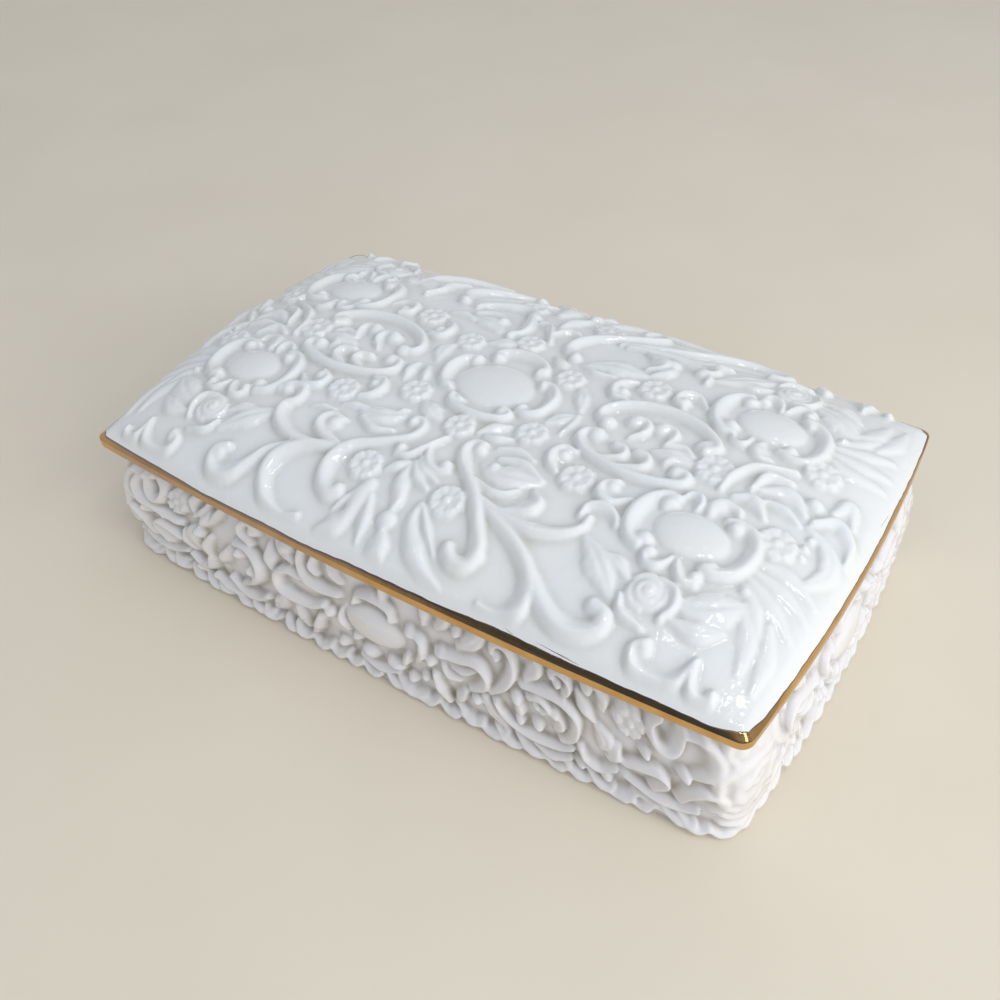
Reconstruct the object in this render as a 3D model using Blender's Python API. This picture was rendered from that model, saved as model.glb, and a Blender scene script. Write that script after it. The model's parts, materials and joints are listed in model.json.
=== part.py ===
"""A glazed porcelain trinket box: a bulged tray, a domed lift-off lid and the lid's gilt edge.

Both porcelain pieces carry a moulded rococo relief of ridges (scrolls, leaves and petals), ovals, beads
and flowers. It is drawn on squared paper: the lid's plan is LONG_SQUARES by SHORT_SQUARES squares from
its middle to its edges, and a wall of the tray is as many squares long as the lid above it and
WALL_SQUARES high. The facets follow the drawing, so that their edges run along the crests and along the
feet and valleys between them. The lid's relief rises straight up and the tray's straight out from its
walls, so nothing is undercut and each piece leaves its mould.

Metres, +Z up. The tray stands on z = 0, x runs along the box and the front faces -y.
"""

import math
from collections import namedtuple

import bmesh
import bpy
import numpy as np
from mathutils.geometry import delaunay_2d_cdt

# Overall plan, over the lid's edge
LENGTH = 0.152
WIDTH = 0.0915
SHORT_SIDE_BOW = 0.00235
LONG_SIDE_BOW = 0.00235

# Lid
LID_CORNER_RADIUS = 0.0032
RIM_HEIGHT = 0.0026
DOME_RISE = 0.0098
LID_WALL = 0.0032
FLANGE_DROP = 0.0030
FLANGE_WALL = 0.0024
FLANGE_CLEARANCE = 0.0008
HOLLOW_CORNER_RADIUS = 0.0049
SEAT_GAP = 0.0003

# Gilt edge round the lid's rim
GILT_THICKNESS = 0.0005
GILT_SHOULDER = 0.0011
GILT_GAP = 0.0003

# Tray
TRAY_HEIGHT = 0.0280
TRAY_CORNER_RADIUS = 0.0062
MOUTH_CORNER_RADIUS = 0.0045
TRAY_WALL = 0.0034
TRAY_FLOOR = 0.0032
TRAY_NECK_INSET = 0.0028
TRAY_WIDEST_INSET = 0.0002
TRAY_FOOT_INSET = 0.0042
TRAY_LIP_BEVEL = 0.0006
FLOOR_FILLET = 0.0050
FOOT_RING_WIDTH = 0.0030
FOOT_RECESS = 0.0012

# How high the relief's motifs stand
SCROLL_LIFT = 0.0016
PETAL_LIFT = 0.0015
BEAD_LIFT = 0.0016
OVAL_LIFT = 0.0022
WALL_LIFT_SHARE = 0.72

# The relief's facets: a ridge's edges end after a length or a turn, and corners stand this far apart
LONGEST_FACET = 0.0050
SHORTEST_FACET = 0.0014
SHARPEST_TURN = math.radians(42)
NEAREST_CORNERS = 0.0006
PLAIN_FACET = 0.0050
WELD_DISTANCE = 0.00001
PATH_STEP = 0.0005
BROAD_RIDGE = 0.0031
OVAL_CORNERS = 12
BEAD_CORNERS = 6
RAY_STEPS = 12

# The squared paper that the relief is drawn on
LONG_SQUARES = 77.4
SHORT_SQUARES = 46.6
WALL_SQUARES = 28.6

# The dome's section along the box and across it: how flat the crown is and how full the edge
DOME_CROWN_SHARES = (5.2, 2.8)
DOME_EDGE_SHARES = (0.62, 0.79)

# The tray's wall from lip to foot: depth as a share of its height, and how far it has swelled
# from the neck (0) to the widest line (1)
WALL_PROFILE_SHARES = (
    (0.00, 0.00),
    (0.18, 0.25),
    (0.40, 0.85),
    (0.56, 1.00),
    (0.72, 0.90),
    (0.88, 0.62),
)

# Where the walls' relief is at full height, as shares of the depth; it fades out beyond them
WALL_RELIEF_SHARES = (0.04, 0.94)

# Rings of the lid's vaulted hollow, as shares of the way from its flange to its middle line
HOLLOW_RING_SHARES = (0.0, 0.12, 0.45, 0.8)

# The gilt edge's outside, from its foot to its top: shares of its thickness, and of its height
GILT_SECTION_SHARES = ((1.0, 0.0), (0.2, 0.0), (0.0, 0.08), (0.0, 0.58), (0.35, 0.87), (1.0, 1.0))

# Where the curve between the tray's wall and floor is half turned, as a share of its radius
FILLET_MIDDLE_SHARE = 0.3

# Corners round each outline and up the tray's seam
LONG_STEPS = 12
SHORT_STEPS = 7
CORNER_STEPS = 4
SEAM_STEPS = 7

# Ridges on the lid: widths at the start, middle and finish, then the path, all in squares.
# Each of these stands in all four quarters.
QUARTER_RIDGE_SHARES = (
    ((2.4, 2.8, 2.8), ((42.8, -13.6), (40.9, -16.6), (41.3, -19.8), (43.2, -22.4))),
    (
        (2.4, 2.8, 2.8),
        (
            (57.8, -11.4), (60.4, -11.4), (62.0, -14.0), (62.4, -17.2), (61.3, -20.4),
            (58.8, -22.2),
        ),
    ),
    ((1.2, 2.0, 1.0), ((46.8, -9.6), (48.3, -8.4), (49.8, -9.6), (49.6, -11.4))),
    ((3.0, 2.6, 1.2), ((53.4, -8.6), (52.2, -10.0), (52.6, -11.6))),
    ((2.0, 2.2, 1.0), ((47.2, -24.6), (48.6, -26.0), (50.2, -25.2), (51.0, -23.4))),
    ((1.0, 2.2, 2.0), ((52.0, -23.4), (53.2, -25.4), (54.8, -26.0), (56.0, -25.0))),
    ((3.2, 2.8, 1.4), ((21.4, -10.6), (20.7, -12.6), (21.7, -14.6), (23.6, -15.8))),
    ((3.4, 2.8, 1.0), ((34.2, -13.9), (32.7, -15.8), (34.5, -17.6), (38.6, -15.4))),
    ((1.0, 6.0, 2.6), ((35.2, -26.2), (40.4, -29.2), (45.8, -33.6))),
    ((2.4, 5.6, 1.0), ((54.8, -30.6), (59.6, -28.8), (65.2, -24.6))),
    ((2.0, 4.4, 1.0), ((55.6, -33.4), (58.8, -32.6), (62.4, -34.4))),
    ((1.6, 2.6, 1.4), ((46.2, -33.6), (48.4, -36.4), (52.4, -36.6))),
    ((2.4, 2.8, 1.2), ((53.4, -40.0), (53.8, -42.0), (56.8, -43.2), (60.0, -42.2), (62.6, -37.6))),
    ((1.2, 2.4, 2.4), ((63.1, -38.4), (63.8, -41.0), (65.4, -42.3), (66.9, -41.4))),
    ((2.0, 3.6, 1.8), ((63.6, -16.4), (67.6, -15.2), (72.0, -16.2))),
    ((2.0, 3.6, 1.6), ((64.0, -18.0), (69.0, -18.6), (73.6, -19.8))),
    ((2.0, 3.4, 1.4), ((64.0, -19.8), (68.2, -21.8), (71.6, -24.6))),
    ((2.0, 3.2, 1.8), ((65.8, -24.4), (68.4, -29.0), (68.4, -34.6))),
    ((1.8, 3.0, 1.4), ((68.4, -25.0), (71.2, -30.4), (71.6, -37.4))),
)

# Ovals and beads on the lid, in all four quarters: middle, then half length and half width
QUARTER_OVAL_SHARES = ((51.8, -17.5, 6.9, 5.3),)
QUARTER_BEAD_SHARES = (
    (45.2, -12.7, 1.9, 1.9),
    (45.0, -22.4, 1.9, 1.9),
    (57.6, -11.8, 1.8, 1.8),
    (57.4, -22.3, 1.9, 1.9),
    (47.2, -24.1, 1.4, 1.4),
    (56.1, -24.8, 1.4, 1.4),
    (53.9, -39.8, 1.5, 1.5),
    (50.2, -31.2, 1.8, 1.6),
)

# Flowers on the lid, in all four quarters: middle, reach and number of petals
QUARTER_FLOWER_SHARES = (
    (27.6, -15.5, 3.7, 7),
    (64.4, -10.2, 3.7, 7),
    (50.2, -31.2, 4.6, 6),
    (14.0, -9.2, 3.5, 7),
)

# Ridges on the lid's long middle line, repeated to the left and the right
SIDE_RIDGE_SHARES = (
    (
        (2.6, 2.6, 2.6),
        (
            (24.0, 1.4), (22.3, 3.0), (23.6, 6.2), (27.5, 8.9), (32.5, 10.2), (37.5, 10.0),
            (42.5, 8.4), (45.9, 5.6),
        ),
    ),
    (
        (2.6, 2.6, 2.4),
        (
            (24.1, -2.8), (22.4, -5.0), (25.0, -7.9), (30.0, -9.6), (35.5, -10.2),
            (41.0, -9.2), (44.4, -7.2), (42.4, -5.0),
        ),
    ),
    ((3.4, 3.2, 1.2), ((30.4, 4.0), (31.4, 2.2), (30.8, -0.4))),
    ((3.4, 3.2, 1.4), ((35.8, 4.6), (36.9, 2.8), (38.4, 1.8))),
    ((2.2, 2.2, 1.2), ((29.8, -4.3), (31.5, -5.0), (31.5, -6.8), (28.8, -8.2))),
    ((2.4, 2.4, 1.2), ((34.4, -4.1), (36.5, -5.4), (36.0, -7.6), (32.4, -9.0))),
    ((1.2, 4.6, 1.6), ((35.6, -1.6), (40.0, -1.3), (43.6, -1.3))),
    ((1.6, 2.4, 1.6), ((51.6, -3.6), (52.4, 0.6), (54.4, 4.2), (60.4, 7.0))),
    ((1.6, 2.6, 1.6), ((56.2, -0.6), (57.4, 3.0), (60.8, 4.4))),
    ((1.8, 3.4, 2.0), ((57.4, -1.4), (61.2, 1.2), (65.4, -0.2))),
    ((1.6, 3.2, 1.4), ((53.8, -4.8), (56.8, -3.0), (60.4, -5.4))),
    ((1.8, 2.6, 1.2), ((68.6, -0.8), (71.8, 1.4), (74.2, -1.8))),
    ((2.4, 4.0, 2.0), ((67.4, -2.4), (71.2, -5.4), (72.8, -9.4), (71.2, -13.2))),
    ((1.8, 3.2, 1.4), ((69.8, 3.2), (70.9, 6.8), (72.8, 3.4))),
)

# Beads and flowers there
SIDE_BEAD_SHARES = (
    (24.0, 1.2, 1.9, 1.9),
    (24.1, -2.6, 2.0, 2.0),
    (44.1, 3.8, 2.0, 2.0),
    (42.2, -4.8, 1.4, 1.4),
    (66.4, 2.4, 1.7, 1.7),
)
SIDE_FLOWER_SHARES = ((47.6, -0.6, 4.0, 7),)

# Ridges on the lid's short middle line, drawn for the front and repeated at the back
FRONT_RIDGE_SHARES = (
    (
        (2.0, 2.6, 3.2),
        (
            (-8.4, -17.4), (-7.2, -16.2), (-5.9, -18.0), (-7.4, -21.4), (-11.3, -24.2),
            (-15.0, -26.7), (-17.2, -30.6), (-17.2, -34.6), (-15.2, -37.8), (-12.2, -37.6),
        ),
    ),
    (
        (2.4, 2.8, 3.0),
        (
            (7.6, -17.8), (5.9, -17.0), (5.6, -20.0), (8.3, -23.0), (11.5, -25.4),
            (14.3, -28.4), (16.8, -31.8), (19.2, -35.4), (19.8, -38.2), (17.6, -39.9),
            (15.0, -38.9),
        ),
    ),
    (
        (2.0, 3.2, 3.0),
        (
            (13.4, -27.6), (19.5, -30.6), (24.0, -32.4), (28.2, -34.8), (32.5, -37.8),
            (36.0, -40.3), (39.4, -42.0), (42.6, -42.3), (45.8, -40.6), (46.4, -38.0),
            (43.8, -37.1),
        ),
    ),
    (
        (2.0, 3.0, 1.4),
        (
            (28.4, -35.4), (30.8, -38.3), (32.0, -41.2), (30.8, -44.0), (27.8, -44.7),
            (24.6, -44.0),
        ),
    ),
    (
        (2.0, 2.8, 2.6),
        (
            (15.0, -27.8), (18.0, -28.6), (23.0, -29.6), (28.0, -29.3), (32.2, -27.6),
            (34.4, -25.0), (33.2, -21.9), (35.0, -19.8), (38.6, -21.0),
        ),
    ),
    ((1.4, 3.4, 1.4), ((22.6, -21.9), (24.3, -24.2), (23.2, -26.6), (19.4, -28.0))),
    ((1.4, 2.0, 1.2), ((11.3, -24.0), (14.5, -25.4), (17.8, -25.0), (19.8, -23.1))),
    ((1.6, 2.2, 2.2), ((0.2, -17.9), (-0.9, -20.4), (-2.3, -23.0), (-3.6, -24.9), (-5.6, -25.2))),
    ((1.4, 1.8, 2.0), ((-0.9, -20.8), (-0.2, -23.4), (1.4, -25.4), (3.6, -25.7), (4.8, -24.6))),
    ((1.4, 2.6, 1.0), ((-0.8, -25.3), (1.0, -28.0), (4.2, -30.4))),
    ((1.4, 2.6, 0.8), ((-2.6, -26.5), (-4.3, -28.3), (-5.9, -29.9))),
    ((1.4, 3.6, 2.0), ((-1.8, -27.2), (-1.2, -30.5), (0.8, -34.4), (0.5, -36.6))),
    ((2.0, 4.2, 1.0), ((1.2, -40.5), (2.0, -43.0), (1.8, -45.6))),
    ((2.2, 4.6, 1.0), ((-6.6, -33.2), (-5.2, -37.4), (-2.8, -43.2))),
    ((2.0, 3.6, 2.8), ((-6.9, -38.5), (-7.6, -41.8), (-10.6, -43.6))),
    ((2.2, 4.4, 1.6), ((5.6, -33.8), (6.6, -37.2), (9.2, -40.6), (12.4, -43.0), (16.4, -44.4))),
    ((2.8, 5.6, 1.4), ((11.8, -18.4), (14.6, -21.2), (19.0, -20.6), (22.4, -18.9))),
    ((1.6, 2.2, 1.0), ((10.6, -15.4), (14.5, -14.5), (18.4, -15.1))),
    ((2.8, 5.6, 2.6), ((-11.8, -17.6), (-14.8, -18.6), (-19.0, -18.8))),
    ((1.6, 2.4, 1.0), ((-19.4, -17.8), (-21.8, -18.4), (-24.4, -19.6))),
    (
        (2.0, 3.4, 1.6),
        (
            (-15.6, -29.0), (-20.0, -30.3), (-25.0, -31.4), (-28.4, -34.4), (-28.9, -38.2),
            (-27.2, -41.8), (-24.0, -44.0), (-20.5, -44.5), (-17.4, -43.6),
        ),
    ),
    (
        (2.0, 3.0, 3.0),
        (
            (-28.5, -32.4), (-31.5, -35.4), (-33.5, -38.9), (-35.6, -41.8), (-38.6, -43.2),
            (-41.6, -41.8), (-42.2, -39.2), (-40.4, -37.7),
        ),
    ),
    (
        (2.6, 2.8, 2.0),
        (
            (-39.6, -20.7), (-37.4, -19.0), (-34.6, -19.9), (-34.6, -22.6), (-36.0, -25.2),
            (-34.4, -28.4), (-30.8, -30.4), (-25.0, -30.6), (-18.0, -28.6),
        ),
    ),
    ((1.0, 2.0, 1.0), ((-30.5, -22.4), (-28.0, -21.7), (-25.4, -21.5))),
    ((4.6, 3.6, 1.4), ((-22.8, -24.6), (-23.0, -26.4), (-20.2, -27.6))),
)

# Beads and flowers there
FRONT_BEAD_SHARES = (
    (-8.4, -17.3, 1.3, 1.3),
    (7.6, -17.6, 1.6, 1.6),
    (14.8, -38.3, 1.5, 1.5),
    (-11.9, -36.6, 1.4, 1.4),
    (-6.2, -24.0, 1.5, 1.5),
    (4.3, -23.9, 1.6, 1.6),
    (0.9, -38.3, 2.0, 1.9),
)
FRONT_FLOWER_SHARES = (
    (0.2, -13.8, 3.5, 7),
    (-10.3, -30.3, 3.6, 7),
    (9.2, -30.8, 3.7, 8),
)

# The lid's middle: the large oval and the C scrolls and leaves round it
MIDDLE_RIDGE_SHARES = (
    (
        (2.4, 2.4, 2.4),
        (
            (-4.7, -6.2), (-6.0, -8.0), (-2.5, -9.2), (1.5, -9.3), (5.2, -8.2),
            (6.4, -6.2),
        ),
    ),
    (
        (2.2, 2.6, 2.4),
        (
            (7.8, 4.6), (10.6, 4.2), (12.2, 1.4), (11.8, -1.5), (10.0, -3.4), (7.9, -3.1),
        ),
    ),
    (
        (2.2, 2.6, 2.2),
        (
            (-8.8, -3.2), (-11.0, -3.0), (-12.2, -0.4), (-12.4, 2.4), (-11.2, 5.2),
            (-9.2, 5.8),
        ),
    ),
    (
        (2.2, 2.6, 2.2),
        (
            (-5.6, 8.8), (-5.8, 10.6), (-3.0, 12.2), (1.0, 12.3), (4.4, 10.8), (5.0, 8.6),
        ),
    ),
    ((1.4, 4.2, 1.4), ((-10.2, -11.2), (-7.4, -12.4), (-4.8, -13.6))),
    ((1.4, 4.0, 1.4), ((5.0, -13.0), (7.4, -11.6), (9.6, -9.8))),
    ((1.4, 3.6, 1.2), ((14.6, -4.2), (16.8, -2.6), (18.6, 0.0))),
    ((1.2, 3.6, 1.6), ((18.2, 1.8), (16.6, 5.4), (14.8, 8.8))),
    ((1.2, 3.6, 1.2), ((-18.8, 0.6), (-17.8, -2.4), (-16.8, -6.0))),
    ((1.2, 3.8, 1.4), ((-16.6, 2.4), (-17.4, 5.6), (-16.8, 9.0))),
    ((1.4, 4.0, 1.4), ((-10.4, 12.8), (-7.6, 14.4), (-5.0, 15.6))),
    ((1.2, 3.0, 1.2), ((5.2, 15.2), (7.6, 13.6), (9.2, 12.0))),
)
MIDDLE_OVAL_SHARES = ((-1.0, 0.3, 8.6, 6.8),)
MIDDLE_BEAD_SHARES = (
    (-4.6, -6.2, 1.5, 1.5),
    (5.0, -5.8, 1.4, 1.4),
    (-8.5, -3.2, 1.4, 1.4),
    (-9.0, 5.9, 1.4, 1.4),
    (7.7, 4.8, 1.5, 1.5),
    (7.8, -3.2, 1.5, 1.5),
    (-5.6, 8.6, 1.5, 1.5),
    (5.0, 8.5, 1.4, 1.4),
)

# Ridges on the tray's walls: squares along the wall from its middle and squares below the lip.
# These stand to both sides of the middle of every wall.
WALL_RIDGE_SHARES = (
    ((1.4, 2.0, 1.0), ((1.6, -2.0), (1.9, -4.4), (3.0, -6.4))),
    ((2.0, 3.4, 1.2), ((9.4, -9.6), (11.6, -10.4), (11.6, -13.4), (10.8, -16.0))),
    ((1.4, 2.2, 1.0), ((8.4, -15.8), (7.6, -18.0), (6.4, -19.8))),
    ((1.6, 2.6, 1.4), ((11.6, -2.0), (12.2, -4.4), (12.0, -6.6))),
    ((1.8, 2.8, 1.2), ((18.0, -1.8), (16.8, -4.2), (14.8, -6.4))),
    ((1.6, 3.4, 1.6), ((26.2, -2.2), (23.6, -5.4), (20.2, -8.0))),
    (
        (2.2, 3.0, 1.4),
        (
            (15.6, -11.0), (19.8, -10.2), (24.2, -9.4), (26.4, -11.4), (25.8, -14.4),
            (22.8, -16.8),
        ),
    ),
    (
        (1.8, 2.8, 1.4),
        (
            (27.6, -4.6), (29.8, -3.3), (31.8, -5.2), (31.9, -8.4), (30.2, -11.8),
            (27.4, -14.8),
        ),
    ),
    ((1.4, 3.0, 1.4), ((36.6, -2.4), (37.3, -5.0), (34.8, -8.0))),
    ((1.4, 2.4, 2.0), ((40.2, -4.4), (42.2, -3.1), (43.5, -5.0), (43.2, -7.2))),
    (
        (1.6, 2.8, 1.6),
        (
            (34.0, -9.4), (38.0, -8.8), (42.0, -8.9), (44.8, -10.8), (45.0, -14.2),
            (44.2, -17.4), (42.2, -19.0),
        ),
    ),
    ((1.6, 2.2, 2.0), ((35.4, -11.2), (38.0, -10.8), (39.3, -12.2), (37.8, -13.2))),
    ((2.4, 2.6, 1.2), ((33.2, -13.6), (33.6, -16.0), (33.0, -18.0))),
    ((1.6, 2.4, 1.2), ((41.8, -12.6), (42.2, -15.0), (41.0, -17.2))),
    (
        (1.8, 2.8, 1.8),
        (
            (28.4, -17.0), (29.8, -19.4), (33.0, -21.5), (37.2, -22.2), (41.6, -21.8),
            (44.4, -20.0),
        ),
    ),
    ((2.0, 3.0, 1.8), ((25.8, -17.8), (27.2, -21.0), (29.8, -24.4))),
    ((1.6, 2.6, 1.4), ((21.4, -18.8), (20.2, -21.4), (18.8, -24.4))),
    ((1.8, 2.6, 1.8), ((14.6, -17.6), (15.4, -21.0), (17.2, -24.6))),
    ((1.4, 2.6, 2.0), ((36.4, -24.4), (40.0, -25.2), (44.0, -24.0))),
)
WALL_BEAD_SHARES = (
    (4.1, -20.8, 2.0, 1.9),
    (8.6, -22.8, 1.6, 1.5),
    (13.8, -14.4, 1.3, 1.3),
    (9.0, -9.6, 1.4, 1.4),
    (28.5, -6.0, 1.1, 1.1),
    (41.6, -5.8, 1.2, 1.2),
)

# One oval and its cap stand at the middle of every wall
WALL_MIDDLE_RIDGE_SHARES = (
    ((1.6, 2.4, 1.6), ((-4.2, -8.2), (-2.4, -6.6), (0.0, -6.0), (2.4, -6.6), (4.2, -8.2))),
    ((1.4, 2.2, 1.4), ((-4.6, -24.0), (0.0, -24.8), (4.6, -24.0))),
)
WALL_MIDDLE_OVAL_SHARES = ((0.0, -13.4, 7.4, 4.7),)
WALL_MIDDLE_BEAD_SHARES = ((-4.4, -9.0, 1.3, 1.3), (4.4, -9.0, 1.3, 1.3))

# More motifs to both sides on the long walls only, out to the corners
LONG_WALL_RIDGE_SHARES = (
    ((1.2, 3.0, 1.2), ((45.6, -5.8), (46.8, -8.2), (48.6, -10.4))),
    ((1.4, 2.6, 1.4), ((49.0, -2.8), (50.6, -4.8), (50.4, -7.4))),
    (
        (1.8, 3.0, 2.2),
        (
            (60.8, -3.2), (59.6, -6.0), (60.4, -8.8), (62.8, -9.0), (64.6, -7.0),
            (65.6, -4.2),
        ),
    ),
    ((2.4, 3.2, 1.4), ((66.0, -4.6), (69.2, -4.6), (71.4, -7.2), (70.6, -10.4), (67.4, -12.8))),
    ((2.2, 3.4, 1.4), ((49.6, -11.4), (50.8, -13.6), (50.4, -16.0))),
    ((2.0, 3.0, 1.4), ((53.2, -14.0), (52.8, -16.6), (51.8, -18.6))),
    ((1.8, 2.6, 1.8), ((46.0, -18.4), (47.2, -21.2), (50.2, -22.2), (53.0, -20.6))),
    ((1.8, 2.6, 2.0), ((54.6, -16.8), (57.6, -15.8), (61.0, -15.4), (62.4, -17.4), (60.2, -20.6))),
    (
        (1.8, 2.8, 1.6),
        (
            (65.2, -20.8), (66.8, -17.6), (69.2, -15.2), (72.0, -15.6), (72.4, -18.0),
            (70.6, -19.6),
        ),
    ),
    ((1.6, 2.8, 2.2), ((54.6, -20.8), (59.4, -22.8), (64.8, -23.2), (68.6, -22.2))),
    ((1.4, 2.4, 1.4), ((57.0, -25.2), (62.0, -26.0), (67.0, -25.6))),
)
LONG_WALL_BEAD_SHARES = ((46.2, -24.0, 1.4, 1.4), (51.4, -24.0, 1.6, 1.5), (65.8, -13.4, 1.5, 1.4))
LONG_WALL_FLOWER_SHARES = ((55.6, -7.2, 3.4, 6),)

Motifs = namedtuple("Motifs", "ridges ovals beads flowers")
QUARTER = Motifs(
    QUARTER_RIDGE_SHARES, QUARTER_OVAL_SHARES, QUARTER_BEAD_SHARES, QUARTER_FLOWER_SHARES
)
SIDE = Motifs(SIDE_RIDGE_SHARES, (), SIDE_BEAD_SHARES, SIDE_FLOWER_SHARES)
FRONT = Motifs(FRONT_RIDGE_SHARES, (), FRONT_BEAD_SHARES, FRONT_FLOWER_SHARES)
MIDDLE = Motifs(MIDDLE_RIDGE_SHARES, MIDDLE_OVAL_SHARES, MIDDLE_BEAD_SHARES, ())
WALL = Motifs(WALL_RIDGE_SHARES, (), WALL_BEAD_SHARES, ())
WALL_MIDDLE = Motifs(WALL_MIDDLE_RIDGE_SHARES, WALL_MIDDLE_OVAL_SHARES, WALL_MIDDLE_BEAD_SHARES, ())
LONG_WALL = Motifs(LONG_WALL_RIDGE_SHARES, (), LONG_WALL_BEAD_SHARES, LONG_WALL_FLOWER_SHARES)

# Mirrors of a drawing, in x and y
AS_DRAWN = ((1, 1),)
LEFT_AND_RIGHT = ((1, 1), (-1, 1))
FRONT_AND_BACK = ((1, 1), (1, -1))
ALL_QUARTERS = ((1, 1), (-1, 1), (1, -1), (-1, -1))

# A flower's parts as shares of its reach: its petals' middles, tips' size, eye and notches
PETAL_RING_SHARE = 0.66
PETAL_SIZE_SHARE = 0.33
EYE_SIZE_SHARE = 0.30
NOTCH_SHARE = 0.88

# The motifs' sections: how round they are, how fast a ridge falls as it narrows, and how closely
# the higher of two motifs wins where they meet
RIDGE_ROUNDNESS = 0.9
BOSS_ROUNDNESS = 0.7
NARROWING_FALL = 0.6
BLEND_POWER = 5.0

# Where a broad ridge's shoulders and an oval's crown lie, as shares of their half width, and how much
# higher than a crest the relief may be before another motif covers that crest
SHOULDER_SHARE = 0.45
CROWN_SHARE = 0.6
COVERED_SHARE = 1.2

PORCELAIN = (0.84, 0.85, 0.85, 1.0)
GOLD = (0.82, 0.55, 0.20, 1.0)


def clear_scene():
    """Empties the scene."""
    for found in list(bpy.data.objects):
        bpy.data.objects.remove(found, do_unlink=True)


def material(name, colour, roughness, metallic, coat):
    """Returns a Principled material."""
    made = bpy.data.materials.new(name)
    made.use_nodes = True
    shader = made.node_tree.nodes["Principled BSDF"]
    shader.inputs["Base Color"].default_value = colour
    shader.inputs["Roughness"].default_value = roughness
    shader.inputs["Metallic"].default_value = metallic
    shader.inputs["Coat Weight"].default_value = coat
    return made


def porcelain_glaze():
    """Returns the lid's glossy white glaze."""
    return material("white_glaze", PORCELAIN, 0.16, 0.0, 0.5)


def tray_glaze():
    """Returns the tray's white glaze, a little less glossy than the lid's."""
    return material("white_glaze_tray", PORCELAIN, 0.2, 0.0, 0.5)


def bright_gold():
    """Returns the fired gold of the lid's edge."""
    return material("bright_gold", GOLD, 0.18, 1.0, 0.0)


def stretch_lengths(radius):
    """Returns how long a corner's arc, a long side and a short side of the outline are."""
    arc = radius * math.pi / 2
    long_run = LENGTH - 2 * SHORT_SIDE_BOW - 2 * radius
    short_run = WIDTH - 2 * LONG_SIDE_BOW - 2 * radius
    return arc, long_run, short_run


def plan_point(share, inset, radius):
    """Returns plan points of the outline, drawn in by inset.

    share counts stretches of the outline, anticlockwise from the back left corner's arc: 0 to 1 is
    that arc, 1 to 2 the left side, 2 to 3 the front left arc and so on, up to 8.
    """
    share = np.mod(np.asarray(share, float), 8)
    part = np.floor(share).astype(int)
    along = share - part
    half_x = LENGTH / 2 - SHORT_SIDE_BOW - np.broadcast_to(inset, share.shape)
    half_y = WIDTH / 2 - LONG_SIDE_BOW - np.broadcast_to(inset, share.shape)
    core_x = half_x - radius
    core_y = half_y - radius
    x = np.zeros_like(share)
    y = np.zeros_like(share)
    arcs = ((-1, 1, 90), (-1, -1, 180), (1, -1, 270), (1, 1, 0))
    sides = ((-1, 0), (0, -1), (1, 0), (0, 1))
    for turn in range(4):
        sign_x, sign_y, start = arcs[turn]
        here = part == 2 * turn
        angle = np.radians(start + 90 * along[here])
        x[here] = sign_x * core_x[here] + radius * np.cos(angle)
        y[here] = sign_y * core_y[here] + radius * np.sin(angle)
        out_x, out_y = sides[turn]
        here = part == 2 * turn + 1
        travel = 2 * along[here] - 1
        x[here] = out_x * half_x[here] - out_y * core_x[here] * travel
        y[here] = out_y * half_y[here] + out_x * core_y[here] * travel
    bow_x = SHORT_SIDE_BOW * (x / half_x) * (1 - (y / half_y) ** 2)
    bow_y = LONG_SIDE_BOW * (y / half_y) * (1 - (x / half_x) ** 2)
    return np.stack([x + bow_x, y + bow_y], axis=-1)


def outline_shares():
    """Returns the places of an outline's corners, as plan_point counts them."""
    steps = (CORNER_STEPS, SHORT_STEPS, CORNER_STEPS, LONG_STEPS) * 2
    return np.concatenate([part + np.arange(count) / count for part, count in enumerate(steps)])


def ring(inset, radius, height):
    """Returns one closed ring of points at a height."""
    points = plan_point(outline_shares(), inset, radius)
    return np.column_stack([points, np.broadcast_to(height, len(points))])


def dome_height(points):
    """Returns the lid's plain crown above its rim's underside, at plan points."""
    half_x = LENGTH / 2 - SHORT_SIDE_BOW
    half_y = WIDTH / 2 - LONG_SIDE_BOW
    x, y = points[:, 0], points[:, 1]
    across, deep = x / half_x, y / half_y
    for _ in range(6):
        across = np.clip(x / (half_x + SHORT_SIDE_BOW * (1 - deep**2)), -1, 1)
        deep = np.clip(y / (half_y + LONG_SIDE_BOW * (1 - across**2)), -1, 1)
    long_fall = (1 - np.abs(across) ** DOME_CROWN_SHARES[0]) ** DOME_EDGE_SHARES[0]
    cross_fall = (1 - np.abs(deep) ** DOME_CROWN_SHARES[1]) ** DOME_EDGE_SHARES[1]
    return RIM_HEIGHT + DOME_RISE * long_fall * cross_fall


def smooth_path(points):
    """Returns a fine smooth path through points, and how far along it each of its own points is."""
    points = np.asarray(points, float)
    before = np.vstack([2 * points[0] - points[1], points[:-1]])
    after = np.vstack([points[1:], 2 * points[-1] - points[-2]])
    slopes = (after - before) / 2
    pieces = []
    for index in range(len(points) - 1):
        start, finish = points[index], points[index + 1]
        count = max(1, round(np.linalg.norm(finish - start) / PATH_STEP))
        u = (np.arange(count) / count)[:, None]
        leaving = 2 * u**3 - 3 * u**2 + 1
        bends = (u**3 - 2 * u**2 + u) * slopes[index] + (u**3 - u**2) * slopes[index + 1]
        pieces.append(leaving * start + (1 - leaving) * finish + bends)
    path = np.vstack(pieces + [points[-1:]])
    lengths = np.concatenate([[0], np.cumsum(np.linalg.norm(np.diff(path, axis=0), axis=1))])
    return path, lengths


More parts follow.
